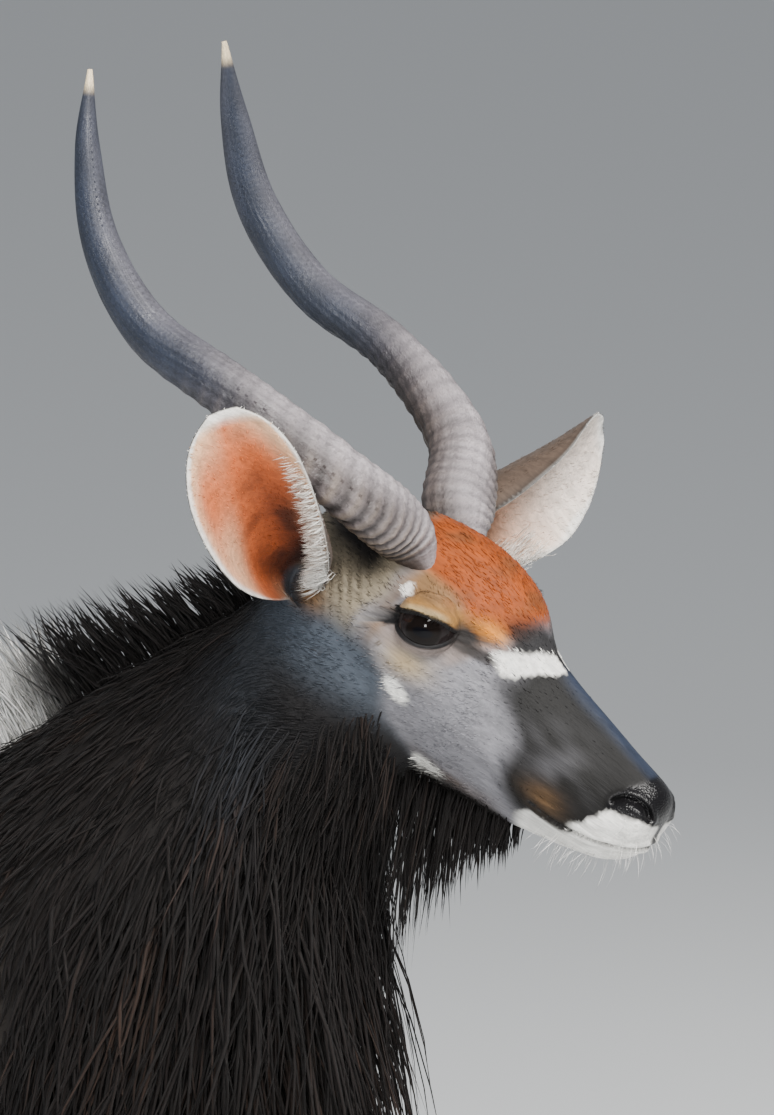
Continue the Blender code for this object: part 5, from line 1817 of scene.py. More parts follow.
@dataclass
class Coat:
    """All the hair of the bull, short and long."""

    ground: Ground

    def build(self) -> None:
        """Grows each kind of hair."""
        self.face()
        self.ears()
        self.short_neck()
        self.mane()
        self.hanging()
        self.crest()
        self.tail()
        self.body()
        self.legs()
        self.whiskers()
        self.lashes()

    def ear_share(self, points: Array) -> Array:
        """1 on the ears' leaves and 0 elsewhere.

        Args:
            points: Points of the straight model.

        Returns:
            1 or 0 for each.
        """
        held = np.zeros(len(points))
        for ear in EARS:
            share, _, _, far = ear.read(points)
            held = np.maximum(held, (far < 0.006) & (share > 0.03))
        return held

    def under_horn(self, points: Array) -> Array:
        """1 where a horn stands on the skull and 0 elsewhere.

        Args:
            points: Points of the straight model.

        Returns:
            1 or 0 for each.
        """
        held = np.zeros(len(points))
        for side in (1, -1):
            path = level_points(spline(HORN_LINE, 60)[:16], side)
            held = np.maximum(held, near_line(points, path)[0] < 0.016)
        return held

    def open_eye(self, points: Array) -> Array:
        """1 within the lids' edges and 0 elsewhere.

        Args:
            points: Points of the straight model.

        Returns:
            1 or 0 for each.
        """
        held = np.zeros(len(points))
        for side in (1, -1):
            edge, _, _, _, size = EYE.read(points, side)
            held = np.maximum(held, (edge < 1.1) & (size < 30))
        return held

    def face(self) -> None:
        """The short dense fur of the head, smallest on the muzzle and lids."""
        def region(points: Array, normals: Array) -> Array:
            """The head without its ears, eyes, horns and nose tip."""
            along, _, up = to_face(points)
            tip = (along > 136) & (up > np.interp(along, (136, 160, 168), (-40, -34, -48)))
            return ((on_head(points) > 0.35) * (1 - self.ear_share(points)) * ~tip * (along < 163)
                * (1 - self.under_horn(points)) * (1 - self.open_eye(points)))
        roots = self.ground.roots(0.00185, region, 101)
        points = roots.points
        along, _, up = to_face(points)
        length = 5.4 - 2.2 * ease(30, 110, along) - 0.8 * ease(120, 150, along)
        tuft = ease(14, 30, up) * ease(-70, -40, along) * (1 - ease(20, 50, along))
        length = length + 0.8 * tuft
        length = length + 3.0 * (1 - ease(-60, -30, along)) * (1 - ease(-60, -30, up))
        length = length + 7.0 * (1 - ease(-100, -84, up)) * (1 - ease(66, 84, along))
        eye = np.min([EYE.read(points, side)[0] for side in (1, -1)], axis=0)
        length = length * (0.42 + 0.58 * ease(2, 14, eye))
        width = (0.58 + 0.36 * ease(2.0, 7.0, length)) * MM
        lie = lie_of(points, roots.normals)
        style = LockStyle(lift=0.13, stray=0.17, patchy=0.13, root_shade=0.88, tip_shade=1.1,
            thick=0.26)
        locks("coat_head", roots, lie, length * MM, width, style, 1)

    def ears(self) -> None:
        """The ears' fur, with long pale hair along their front edges."""
        def leaf(points: Array, normals: Array) -> Array:
            """The ears' leaves."""
            return self.ear_share(points)
        roots = self.ground.roots(0.0023, leaf, 102)
        lie = lie_of(roots.points, roots.normals)
        style = LockStyle(lift=0.16, stray=0.25, patchy=0.14, root_shade=0.72, tip_shade=1.12,
            thick=0.24)
        edge = np.zeros(len(lie))
        for ear in EARS:
            share, turn, _, far = ear.read(roots.points)
            outer = np.maximum(ease(0.8, 0.95, np.abs(turn)), ease(0.9, 0.97, share))
            edge = np.where(far < 0.006, outer, edge)
        locks("coat_ear", roots, lie, 0.0046 - 0.0026 * edge, 0.0008 - 0.0003 * edge, style,
            2)

        def edges(points: Array, normals: Array) -> Array:
            """The inner side of each ear's front edge."""
            held = np.zeros(len(points))
            for ear in EARS:
                share, turn, lift, far = ear.read(points)
                near = ease(0.55, 0.78, turn) * (lift < 0.0004) * (far < 0.005)
                high = 1 - ease(0.7 - 0.25 * ear.pale, 0.86 - 0.25 * ear.pale, share)
                held = np.maximum(held, near * ease(0.02, 0.1, share) * high)
            return held
        roots = self.ground.roots(0.0013, edges, 103)
        lie = np.zeros_like(roots.points)
        for ear in EARS:
            share, turn, _, far = ear.read(roots.points)
            _, run, opening, sideways, _ = ear.axes()
            way = run * 0.75 - sideways * (np.sign(turn) * 0.75)[:, None] + opening * 0.35
            lie = np.where((far < 0.006)[:, None], way, lie)
        style = LockStyle(rings=3, lift=0.3, stray=0.22, patchy=0.06, root_shade=0.88,
            tip_shade=1.05, vary=0.5, clump=0.5, clump_size=0.006)
        roots.colours[:] = roots.colours * 0.25 + np.array(PALETTE.white) * 0.75
        long = np.zeros(len(lie))
        for ear in EARS:
            share, _, _, far = ear.read(roots.points)
            long = np.where(far < 0.006, 0.0135 - 0.0045 * ease(0.3, 0.8, share), long)
        locks("coat_ear_edge", roots, unit(lie), np.maximum(long, 0.004), 0.00052, style, 3)

    def short_neck(self) -> None:
        """The flat grey coat of the neck behind the jaw."""
        def region(points: Array, normals: Array) -> Array:
            """The top of the neck, behind the jaw."""
            share, low = neck_read(points)
            high = ease(0.52, 0.66, share + 0.1 * (0.5 - low))
            return ((on_head(points) <= 0.35) * (points[:, 0] > 0.5) * high
                * (1 - self.ear_share(points)))
        roots = self.ground.roots(0.0025, region, 104)
        lie = lie_of(roots.points, roots.normals)
        style = LockStyle(lift=0.14, stray=0.2, patchy=0.18, thick=0.25, droop=0.1, clump=0.3,
            clump_size=0.008)
        locks("coat_neck", roots, lie, 0.0125, 0.0013, style, 4)

    def long_style(self, **changes: float) -> LockStyle:
        """The style of long hanging hair."""
        values = dict(rings=4, thick=0.28, vary=0.3, stray=0.09, lift=0.3, droop=0.25, wave=0.07,
            roll=0.4, belly=0.3, root_shade=0.75, tip_shade=1.3, patchy=0.24, sunk=0.002,
            clump=0.75, clump_size=0.016)
        values.update(changes)
        return LockStyle(**values)

    def dark(self, roots: Roots, share: float = 1.0) -> None:
        """Gives long hair its dark brown, with redder and greyer locks among it.

        Args:
            roots: The roots, whose colours are changed.
            share: How far they take the new colour, 0 to 1.
        """
        mixed = ripple(roots.points, 0.01, 41)
        tone = over(plain(PALETTE.mane, len(roots.points)), PALETTE.mane_tip,
            0.55 * ease(0.4, 1.6, mixed))
        roots.colours[:] = roots.colours * (1 - share) + tone * share

    def mane(self) -> None:
        """The long hair of the neck's sides and throat, shorter near the crest."""
        def region(points: Array, normals: Array) -> Array:
            """The neck's sides and throat, up to the shoulder and the cheek."""
            share, low = neck_read(points)
            start = ease(0.28, 0.44, low + 0.1 * ripple(points, 0.03, 43)
                - 0.3 * ease(0.62, 0.95, share) * (1 - ease(0.5, 0.7, low)))
            reach = ease(0.02, 0.12, share) * (points[:, 0] > 0.27) * (points[:, 2] > 0.62)
            along, _, up = to_face(points)
            wander = 5 * ripple(points, 0.012, 47)
            back = behind_cheek(along + 9 + wander, up) * (1 - ease(-84, -56, up + wander))
            ahead = ahead_of_shoulder(points) + 0.01 * ripple(points, 0.02, 46)
            return (start * reach * np.maximum(on_head(points) < 0.9, back)
                * ease(-0.02, 0.02, ahead))
        roots = self.ground.roots(0.0043, region, 105)
        share, low = neck_read(roots.points)
        throat = ease(0.8, 0.96, low)
        lie = np.stack([-0.34 + 0.36 * low + 0.28 * throat, 0 * low, -np.ones(len(low))], 1)
        bend = ripple(roots.points, 0.045, 44)[:, None]
        lie = unit(lie + np.cross(roots.normals, lie) * 0.13 * bend + roots.normals * 0.03)
        length = 0.04 + 0.125 * ease(0.35, 0.95, low)
        length = length - 0.06 * ease(0.7, 1.0, share) * (1 - 0.7 * throat)
        length = length * (0.4 + 0.6 * ease(0.0, 0.09, ahead_of_shoulder(roots.points)))
        along, _, up = to_face(roots.points)
        head = on_head(roots.points)
        near_face = head * (0.25 + 0.75 * (1 - ease(-104, -60, up)))
        length = length * (1 - head) + 0.052 * near_face
        lie = unit(lie - np.array((0.55, 0.0, 0.0)) * (head * (1 - ease(-110, -70, up)))[:, None])
        lie = unit(lie - np.array((0.7, 0.0, 0.0)) * (head * ease(-90, -56, up))[:, None])
        self.dark(roots, 1.0)
        # A touch of painted blue-grey sheen on the upper mane near the head.
        blue = ease(0.58, 0.76, share) * (1 - ease(0.45, 0.7, low))
        roots.colours[:] = over(roots.colours, PALETTE.blue_grey, 0.18 * blue)
        # Lighter tips and brighter locks: partly the mane's own warmer tips, partly painted sheen
        # on its strands.
        locks("mane", roots, lie, length, 0.0021 - 0.0007 * head,
            self.long_style(patchy=0.34, tip_shade=1.4, lift=0.22, stray=0.13, wave=0.11), 5)

        def upper(points: Array, normals: Array) -> Array:
            """The neck's upper part, beside the crest."""
            share, low = neck_read(points)
            mask = ease(0.02, 0.1, share) * (points[:, 0] > 0.27)
            return (mask * (1 - ease(0.34, 0.5, low)) * (on_head(points) < 0.35)
                * (1 - ease(0.6, 0.74, share)))
        roots = self.ground.roots(0.0042, upper, 106)
        lie = lie_of(roots.points, roots.normals)
        self.dark(roots, 0.6)
        style = self.long_style(rings=3, lift=0.18, droop=0.15, wave=0.05, root_shade=0.8,
            tip_shade=1.25, stray=0.14)
        locks("mane_upper", roots, lie, 0.03, 0.0022, style, 6)

    def hanging(self) -> None:
        """The chest, brisket, belly and thigh hair, and the beard."""
        def below(points: Array, normals: Array) -> Array:
            """The underside, from the brisket to the groin."""
            x, y, z = points.T
            under = (normals[:, 2] < -0.25) & (z > 0.36) & (on_head(points) < 0.1)
            long = (x > -0.42) & (x < 0.42)
            return under * long * (1 - ease(0.03, 0.06, np.abs(y))) * (z < 0.8)
        roots = self.ground.roots(0.006, below, 107)
        x, y, _ = roots.points.T
        share = (x + 0.41) / 0.68
        length = 0.105 + 0.04 * np.sin(math.pi * np.clip(share, 0, 1)) - 0.5 * np.abs(y)
        lie = unit(np.stack([np.full_like(x, -0.16), 0.25 * y / 0.05, -np.ones_like(x)], 1))
        self.dark(roots, 0.9)
        locks("fringe", roots, lie, length, 0.0034, self.long_style(lift=0.5), 7)

        def chest(points: Array, normals: Array) -> Array:
            """The front of the chest."""
            x, y, z = points.T
            front = (normals[:, 0] > 0.15) & (x > 0.36) & (z > 0.6) & (z < 0.86)
            return front * (1 - ease(0.075, 0.11, np.abs(y))) * (on_head(points) < 0.1)
        roots = self.ground.roots(0.006, chest, 108)
        x, y, z = roots.points.T
        lie = unit(np.stack([0 * x - 0.05, 0.2 * y / 0.1, -np.ones_like(x)], 1)
            + roots.normals * 0.1)
        self.dark(roots, 0.95)
        locks("chest", roots, lie, 0.085 + 0.07 * ease(0.62, 0.85, z), 0.0032,
            self.long_style(), 8)

        def thighs(points: Array, normals: Array) -> Array:
            """The back of both thighs."""
            x, y, z = points.T
            back = (normals[:, 0] < -0.3) & (x < -0.44) & (z > 0.52) & (z < 0.8)
            return back * ease(0.04, 0.07, np.abs(y))
        roots = self.ground.roots(0.0075, thighs, 109)
        lie = unit(np.tile(np.array((-0.3, 0.0, -1.0)), (len(roots.points), 1)))
        self.dark(roots, 0.75)
        locks("thigh_hair", roots, lie, 0.055, 0.0034, self.long_style(rings=3), 9)

        def chin(points: Array, normals: Array) -> Array:
            """The underside of the jaw."""
            along, across, up = to_face(points)
            under = (up < -84) & (normals @ UPWARD < -0.5) & (on_head(points) > 0.3)
            broad = 26 * (1 - ease(-20, 45, along)) * (up < -105)
            return under * (along < 82) * (1 - ease(9 + broad, 15 + broad, np.abs(across)))
        roots = self.ground.roots(0.0023, chin, 110)
        along, across, _ = to_face(roots.points)
        length = 0.024 + 0.112 * (1 - ease(-30, 84, along))
        lie = np.array((-0.16, 0.0, -1.0)) + LEFT * (across / 22 * 0.1)[:, None]
        self.dark(roots, 1.0)
        locks("beard", roots, unit(lie), length, 0.0015,
            self.long_style(rings=4, lift=0.2), 10)

    def crest(self) -> None:
        """The upright hair along the back, white behind and dark on the neck."""
        at = (-0.58, -0.3, 0.0, 0.25, 0.45, 0.56, 0.68)
        long = (0.048, 0.072, 0.092, 0.102, 0.075, 0.048, 0.02)

        def region(points: Array, normals: Array) -> Array:
            """A narrow band along the back and the neck's top."""
            x, y, z = points.T
            top = (normals[:, 2] > 0.2) & (z > 0.92) & (x > -0.6) & (x < 0.68)
            return top * (1 - ease(0.007, 0.016, np.abs(y))) * (on_head(points) < 0.4)
        roots = self.ground.roots(0.0025, region, 111)
        x, y, _ = roots.points.T
        length = np.interp(x, at, long) * 0.92
        white = (1 - ease(0.44, 0.5, x + 0.01 * ripple(roots.points, 0.02, 45)))[:, None]
        dark = plain(PALETTE.mane, len(x))
        roots.colours[:] = dark * (1 - white) + np.array(PALETTE.crest) * white
        lie = unit(np.stack([np.full_like(x, -0.75), 6.0 * y, np.full_like(x, 0.55)], 1))
        style = self.long_style(rings=4, lift=0.58, droop=0.06, wave=0.12, roll=0.9,
            root_shade=0.8, tip_shade=1.1, patchy=0.1, stray=0.2, vary=0.45, clump=0.7,
            clump_size=0.014)
        locks("crest", roots, lie, length, 0.0019, style, 11)

    def tail(self) -> None:
        """The tail's bush of dark hair."""
        def region(points: Array, normals: Array) -> Array:
            """The tail below its root."""
            x, y, z = points.T
            return (x < -0.625) & (np.abs(y) < 0.05) & (z < 0.955) & (z > 0.5)
        roots = self.ground.roots(0.0042, region, 112)
        z = roots.points[:, 2]
        lie = unit(roots.normals * 0.22 + np.array((0, 0, -1.0)))
        self.dark(roots, 0.9)
        length = 0.06 + 0.045 * np.sin(math.pi * ease(0.62, 0.95, z))
        length = np.minimum(length, (z - 0.515) * 0.9 + 0.035)
        locks("tail_hair", roots, lie, length, 0.0034,
            self.long_style(rings=4, lift=0.32, droop=0.1), 12)

    def body(self) -> None:
        """The short coat of the trunk and the tops of the legs."""
        def region(points: Array, normals: Array) -> Array:
            """The trunk and the tops of the legs, without mane and tail."""
            x, y, z = points.T
            trunk = (z > 0.55) & (x > -0.7) & (on_head(points) < 0.1)
            share, _ = neck_read(points)
            maned = ease(0.02, 0.1, share) * (x > 0.3) * (ahead_of_shoulder(points) > 0)
            return trunk * (1 - maned) * (1 - ((x < -0.625) & (np.abs(y) < 0.05)))
        roots = self.ground.roots(0.0082, region, 113)
        lie = lie_of(roots.points, roots.normals)
        style = LockStyle(lift=0.1, stray=0.16, patchy=0.12, root_shade=0.8, tip_shade=1.14,
            thick=0.2)
        locks("coat_body", roots, lie, 0.019, 0.0036, style, 13)

    def legs(self) -> None:
        """The flat coat of the lower legs."""
        def region(points: Array, normals: Array) -> Array:
            """The legs below the trunk, down to the claws."""
            x, y, z = points.T
            return (z <= 0.56) & (z > 0.052) & (np.abs(y) > 0.025) & (x > -0.62)
        roots = self.ground.roots(0.0055, region, 114)
        z = roots.points[:, 2]
        lie = lie_of(roots.points, roots.normals)
        style = LockStyle(lift=0.09, stray=0.14, patchy=0.1, root_shade=0.82, tip_shade=1.1,
            thick=0.2)
        size = 0.55 + 0.45 * ease(0.08, 0.45, z)
        locks("coat_legs", roots, lie, 0.0135 * size, 0.003 * size, style, 14)

    def whiskers(self) -> None:
        """Fine stiff hairs on the lips and chin."""
        def region(points: Array, normals: Array) -> Array:
            """The lips and the front of the nose."""
            along, across, up = to_face(points)
            lips = ease(100, 116, along) * (1 - ease(-78, -70, up)) * (np.abs(across) > 3)
            front = (along > 152) * (up < -42) * (np.abs(across) > 5)
            return np.maximum(lips, front) * (on_head(points) > 0.9)
        roots = self.ground.roots(0.005, region, 115)
        lie = unit(-FORWARD * 0.35 - UPWARD * 0.55 + roots.normals * 0.8)
        roots.colours[:] = np.array(PALETTE.crest)
        style = LockStyle(rings=3, lift=0.75, stray=0.35, vary=0.45, droop=0.25, thick=0.5)
        locks("whiskers", roots, lie, 0.016, 0.00026, style, 15)

    def lashes(self) -> None:
        """The dark lashes of the upper lids."""
        def region(points: Array, normals: Array) -> Array:
            """The edges of the upper lids."""
            held = np.zeros(len(points))
            for side in (1, -1):
                edge, x, y, _, size = EYE.read(points, side)
                held = np.maximum(held, (edge > 0.4) & (edge < 1.7) & (y > 1.5) & (size < 32)
                    & (np.abs(x) < 16))
            return held
        roots = self.ground.roots(0.0008, region, 116)
        lie = np.zeros_like(roots.points)
        for side in (1, -1):
            centre, out, _, high = EYE.axes(side)
            near = np.linalg.norm(roots.points - centre, axis=1) < 0.035
            lie = np.where(near[:, None], out + high * 0.15 - FORWARD * 0.2, lie)
        roots.colours[:] = np.array(PALETTE.nose)
        style = LockStyle(rings=3, lift=0.3, stray=0.15, vary=0.3, droop=0.3, thick=0.5)
        locks("lashes", roots, unit(lie), 0.0068, 0.00035, style, 16)


def placed_node(tree: bpy.types.NodeTree, kind: str, inputs: dict[str | int, object],
        **settings: object) -> bpy.types.Node:
    """Adds a node to a tree.

    Args:
        tree: The tree.
        kind: The node's type.
        inputs: Values, or other nodes' outputs, for its inputs.
        settings: The node's own settings.

    Returns:
        The node.
    """
    made = tree.nodes.new(kind)
    for key, value in settings.items():
        setattr(made, key, value)
    for key, value in inputs.items():
        if isinstance(value, bpy.types.NodeSocket):
            tree.links.new(value, made.inputs[key])
        else:
            made.inputs[key].default_value = value
    return made


class Streaks:
    """A node group of fine hair or grain, drawn out along its second direction."""

    tree: bpy.types.NodeTree | None = None

    @classmethod
    def shared(cls) -> bpy.types.NodeTree:
        """The group, made once."""
        if cls.tree is not None:
            return cls.tree
        tree = bpy.data.node_groups.new("streaks", "ShaderNodeTree")
        for name, kind, value in (("Vector", "NodeSocketVector", None),
                ("Fine", "NodeSocketFloat", 3.0), ("Stretch", "NodeSocketFloat", 0.08),
                ("Depth", "NodeSocketFloat", 0.3)):
            socket = tree.interface.new_socket(name, in_out="INPUT", socket_type=kind)
            if value is not None:
                socket.default_value = value
        for name in ("Shade", "Height"):
            tree.interface.new_socket(name, in_out="OUTPUT", socket_type="NodeSocketFloat")
        given = tree.nodes.new("NodeGroupInput").outputs
        ends = tree.nodes.new("NodeGroupOutput")
        along = placed_node(tree, "ShaderNodeMath", {0: given["Fine"], 1: given["Stretch"]},
            operation="MULTIPLY")
        scale = placed_node(tree, "ShaderNodeCombineXYZ",
            {0: given["Fine"], 1: along.outputs[0], 2: given["Fine"]})
        drawn = placed_node(tree, "ShaderNodeVectorMath",
            {0: given["Vector"], 1: scale.outputs[0]}, operation="MULTIPLY")
        fine = placed_node(tree, "ShaderNodeTexNoise",
            {"Vector": drawn.outputs[0], "Scale": 1.0, "Detail": 3.0, "Roughness": 0.62})
        broad = placed_node(tree, "ShaderNodeTexNoise",
            {"Vector": drawn.outputs[0], "Scale": 0.31, "Detail": 1.0})
        both = placed_node(tree, "ShaderNodeMath", {0: fine.outputs[0], 1: broad.outputs[0]},
            operation="ADD")
        centred = placed_node(tree, "ShaderNodeMath", {0: both.outputs[0], 1: -1.0},
            operation="ADD")
        shade = placed_node(tree, "ShaderNodeMath", {0: centred.outputs[0], 1: given["Depth"],
            2: 1.0}, operation="MULTIPLY_ADD")
        tree.links.new(shade.outputs[0], ends.inputs["Shade"])
        tree.links.new(both.outputs[0], ends.inputs["Height"])
        cls.tree = tree
        return tree


@dataclass
class Finish:
    """A material with its tree and main shader."""

    name: str
    roughness: float = 0.5
    specular: float = 0.4
    coat: float = 0.0
    sheen: float = 0.0
    material: bpy.types.Material = field(init=False)

    def __post_init__(self) -> None:
        """Makes the material with its uniform values."""
        self.material = bpy.data.materials.new(self.name)
        self.material.use_nodes = True
        self.tree = self.material.node_tree
        self.main = self.tree.nodes["Principled BSDF"]
        self.main.inputs["Roughness"].default_value = self.roughness
        self.main.inputs["Specular IOR Level"].default_value = self.specular
        self.main.inputs["Coat Weight"].default_value = self.coat
        self.main.inputs["Coat Roughness"].default_value = 0.04
        self.main.inputs["Sheen Weight"].default_value = self.sheen
        self.main.inputs["Sheen Roughness"].default_value = 0.5

    def node(self, kind: str, inputs: dict[str | int, object],
            **settings: object) -> bpy.types.Node:
        """Adds a node to the material."""
        return placed_node(self.tree, kind, inputs, **settings)

    def painted(self) -> bpy.types.Node:
        """The colours that the mesh carries."""
        return self.node("ShaderNodeAttribute", {}, attribute_name="coat")

    def streaks(self, vector: bpy.types.NodeSocket, fine: float, stretch: float,
            depth: float) -> bpy.types.Node:
        """The shared group of streaks with its own values.

        Args:
            vector: Where the grain is read.
            fine: How many hairs to a unit.
            stretch: Their width as a share of their length.
            depth: How strongly they shade.

        Returns:
            The group's node.
        """
        made = self.tree.nodes.new("ShaderNodeGroup")
        made.node_tree = Streaks.shared()
        self.tree.links.new(vector, made.inputs["Vector"])
        for name, value in (("Fine", fine), ("Stretch", stretch), ("Depth", depth)):
            made.inputs[name].default_value = value
        return made

    def shaded(self, colour: bpy.types.NodeSocket, shade: bpy.types.NodeSocket) -> None:
        """Sends a colour, lightened and darkened by a value, to the shader."""
        mixed = self.node("ShaderNodeVectorMath", {0: colour, 1: shade}, operation="MULTIPLY")
        self.tree.links.new(mixed.outputs[0], self.main.inputs["Base Color"])

    def bumped(self, height: bpy.types.NodeSocket, strength: float, distance: float) -> None:
        """Sends a height to the shader's normal."""
        bump = self.node("ShaderNodeBump", {"Height": height, "Strength": strength,
            "Distance": distance})
        self.tree.links.new(bump.outputs[0], self.main.inputs["Normal"])


class FurFinish:
    """The hair of every lock."""

    material: bpy.types.Material | None = None

    @classmethod
    def shared(cls) -> bpy.types.Material:
        """The material, made once."""
        if cls.material is None:
            made = Finish("fur", roughness=0.62, specular=0.15, sheen=0.03)
            strand = made.node("ShaderNodeUVMap", {}, uv_map="strand")
            hair = made.streaks(strand.outputs[0], 3.2, 0.05, 0.75)
            made.shaded(made.painted().outputs["Color"], hair.outputs["Shade"])
            made.bumped(hair.outputs["Height"], 0.6, 0.0006)
            cls.material = made.material
        return cls.material


class HideFinish:
    """The skin under the hair, bare and wet on the nose and lips."""

    @staticmethod
    def made() -> bpy.types.Material:
        """The material."""
        made = Finish("hide", roughness=0.6, specular=0.22, sheen=0.03)
        paint = made.painted()
        grain = made.node("ShaderNodeAttribute", {}, attribute_name="grain")
        hair = made.streaks(grain.outputs["Vector"], 900.0, 0.09, 0.8)
        place = made.node("ShaderNodeTexCoord", {})
        pebble = made.node("ShaderNodeTexVoronoi", {"Vector": place.outputs["Object"],
            "Scale": 950.0}, feature="SMOOTH_F1")
        wet = paint.outputs["Alpha"]
        shade = made.node("ShaderNodeMix", {"Factor": wet, "A": hair.outputs["Shade"], "B": 1.0})
        made.shaded(paint.outputs["Color"], shade.outputs[0])
        rough = made.node("ShaderNodeMapRange", {"Value": wet, "To Min": 0.62, "To Max": 0.27})
        made.tree.links.new(rough.outputs[0], made.main.inputs["Roughness"])
        height = made.node("ShaderNodeMix", {"Factor": wet, "A": hair.outputs["Height"],
            "B": pebble.outputs["Distance"]})
        made.bumped(height.outputs[0], 0.55, 0.0007)
        return made.material


class HornFinish:
    """Keratin with grain along the horn and blotches of gloss."""

    @staticmethod
    def made() -> bpy.types.Material:
        """The material."""
        made = Finish("horn", roughness=0.5, specular=0.42)
        strand = made.node("ShaderNodeUVMap", {}, uv_map="strand")
        grain = made.streaks(strand.outputs[0], 1.5, 0.035, 1.0)
        place = made.node("ShaderNodeTexCoord", {})
        blotch = made.node("ShaderNodeTexNoise", {"Vector": place.outputs["Object"], "Scale": 60.0,
            "Detail": 4.0})
        rough = made.node("ShaderNodeMapRange", {"Value": blotch.outputs[0], "From Min": 0.3,
            "From Max": 0.7, "To Min": 0.36, "To Max": 0.66})
        made.tree.links.new(rough.outputs[0], made.main.inputs["Roughness"])
        made.shaded(made.painted().outputs["Color"], grain.outputs["Shade"])
        pits = made.node("ShaderNodeTexNoise", {"Vector": place.outputs["Object"], "Scale": 420.0,
            "Detail": 4.0})
        height = made.node("ShaderNodeMath", {0: grain.outputs["Height"], 1: pits.outputs[0]},
            operation="ADD")
        made.bumped(height.outputs[0], 0.75, 0.0008)
        return made.material


class EyeFinish:
    """The wet dark eye."""

    @staticmethod
    def made() -> bpy.types.Material:
        """The material."""
        made = Finish("eye", roughness=0.04, specular=0.14, coat=0.0)
        place = made.node("ShaderNodeTexCoord", {})
        noise = made.node("ShaderNodeTexNoise", {"Vector": place.outputs["Object"], "Scale": 500.0,
            "Detail": 3.0})
        shade = made.node("ShaderNodeMapRange", {"Value": noise.outputs[0], "To Min": 0.6,
            "To Max": 1.4})
        made.shaded(made.painted().outputs["Color"], shade.outputs[0])
        return made.material


class ClawFinish:
    """The dull dark horn of the claws."""

    @staticmethod
    def made() -> bpy.types.Material:
        """The material."""
        made = Finish("claw", roughness=0.48, specular=0.45)
        place = made.node("ShaderNodeTexCoord", {})
        squashed = made.node("ShaderNodeMapping", {"Vector": place.outputs["Object"],
            "Scale": (1.0, 1.0, 5.0)})
        rings = made.node("ShaderNodeTexNoise", {"Vector": squashed.outputs[0], "Scale": 90.0,
            "Detail": 5.0})
        shade = made.node("ShaderNodeMapRange", {"Value": rings.outputs[0], "From Min": 0.25,
            "From Max": 0.75, "To Min": 0.6, "To Max": 1.5})
        made.shaded(made.painted().outputs["Color"], shade.outputs[0])
        made.bumped(rings.outputs[0], 0.5, 0.001)
        return made.material


def painted_points(obj: bpy.types.Object, colours: Array) -> None:
    """Gives each point of an object its colour.

    Args:
        obj: The object.
        colours: Three or four numbers for each point.
    """
    if colours.shape[1] == 3:
        colours = np.concatenate([colours, np.zeros((len(colours), 1))], axis=1)
    layer = obj.data.color_attributes.new(name="coat", type="FLOAT_COLOR", domain="POINT")
    layer.data.foreach_set("color", np.ascontiguousarray(colours).ravel())


def laid_corners(obj: bpy.types.Object, name: str, flat: Array) -> None:
    """Gives the corners of an object's faces their places on a named map."""
    layer = obj.data.uv_layers.new(name=name)
    layer.data.foreach_set("uv", np.ascontiguousarray(flat).ravel())


def settled(obj: bpy.types.Object, material: bpy.types.Material, points: Array) -> None:
    """Smooths an object, gives it its material and sets its points in the stance.

    Args:
        obj: The object.
        material: Its material.
        points: Its points in the straight model.
    """
    obj.data.polygons.foreach_set("use_smooth", np.ones(len(obj.data.polygons), dtype=bool))
    obj.data.materials.clear()
    obj.data.materials.append(material)
    set_points(obj, STANCE.set(points))


@dataclass
class Hide:
    """Dresses the built skin: its colours, maps and material."""

    skin: Skin
    markings: Markings

    def build(self) -> Array:
        """Paints the skin, unrolls it and puts it in its place.

        Returns:
            The place of each face's corners on the baked picture.
        """
        obj, points = self.skin.obj, self.skin.straight
        colours, wet = self.markings.paint(points)
        # Painted shade: the skin takes the coat's colours a fifth darker, as if deep under the
        # hair; the bare nose and lips darken too.
        painted_points(obj, np.concatenate([colours * 0.8, wet[:, None]], axis=1))
        grain = obj.data.attributes.new(name="grain", type="FLOAT_VECTOR", domain="POINT")
        grain.data.foreach_set("vector", self.grain(points).ravel())
        faces = triangles_of(obj)
        centres = points[faces].mean(axis=1)
        number = np.repeat(charts_of(centres), 3)
        middles = np.repeat(centres, 3, axis=0)
        flat = laid_flat(points[faces.ravel()], number, middles)
        laid_corners(obj, "OFBake", flat)
        settled(obj, HideFinish.made(), points)
        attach(obj, "root")
        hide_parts("head", "neck", "torso", "tail", "ear_left", "ear_right", "foreleg_left",
            "foreleg_right", "hindleg_left", "hindleg_right")
        log.info("hide: %d points", len(points))
        return flat.reshape(-1, 3, 2)

    def grain(self, points: Array) -> Array:
        """Where each point lies across and along the coat, in metres.

        Args:
            points: Points of the straight model.

        Returns:
            Three lengths for each.
        """
        along, across, up = (value * MM for value in to_face(points))
        head = on_head(points)[:, None]
        face = np.stack([across, along, up], 1)
        way = unit(np.array((-0.78, 0.0, -0.55)))
        beside = np.array((way[2], 0.0, -way[0]))
        body = np.stack([points @ beside, points @ way, points[:, 1]], 1)
        low = (1 - ease(0.5, 0.62, points[:, 2]))[:, None]
        leg = np.stack([points[:, 0], points[:, 2], points[:, 1]], 1)
        body = body * (1 - low) + leg * low
        return body * (1 - head) + face * head


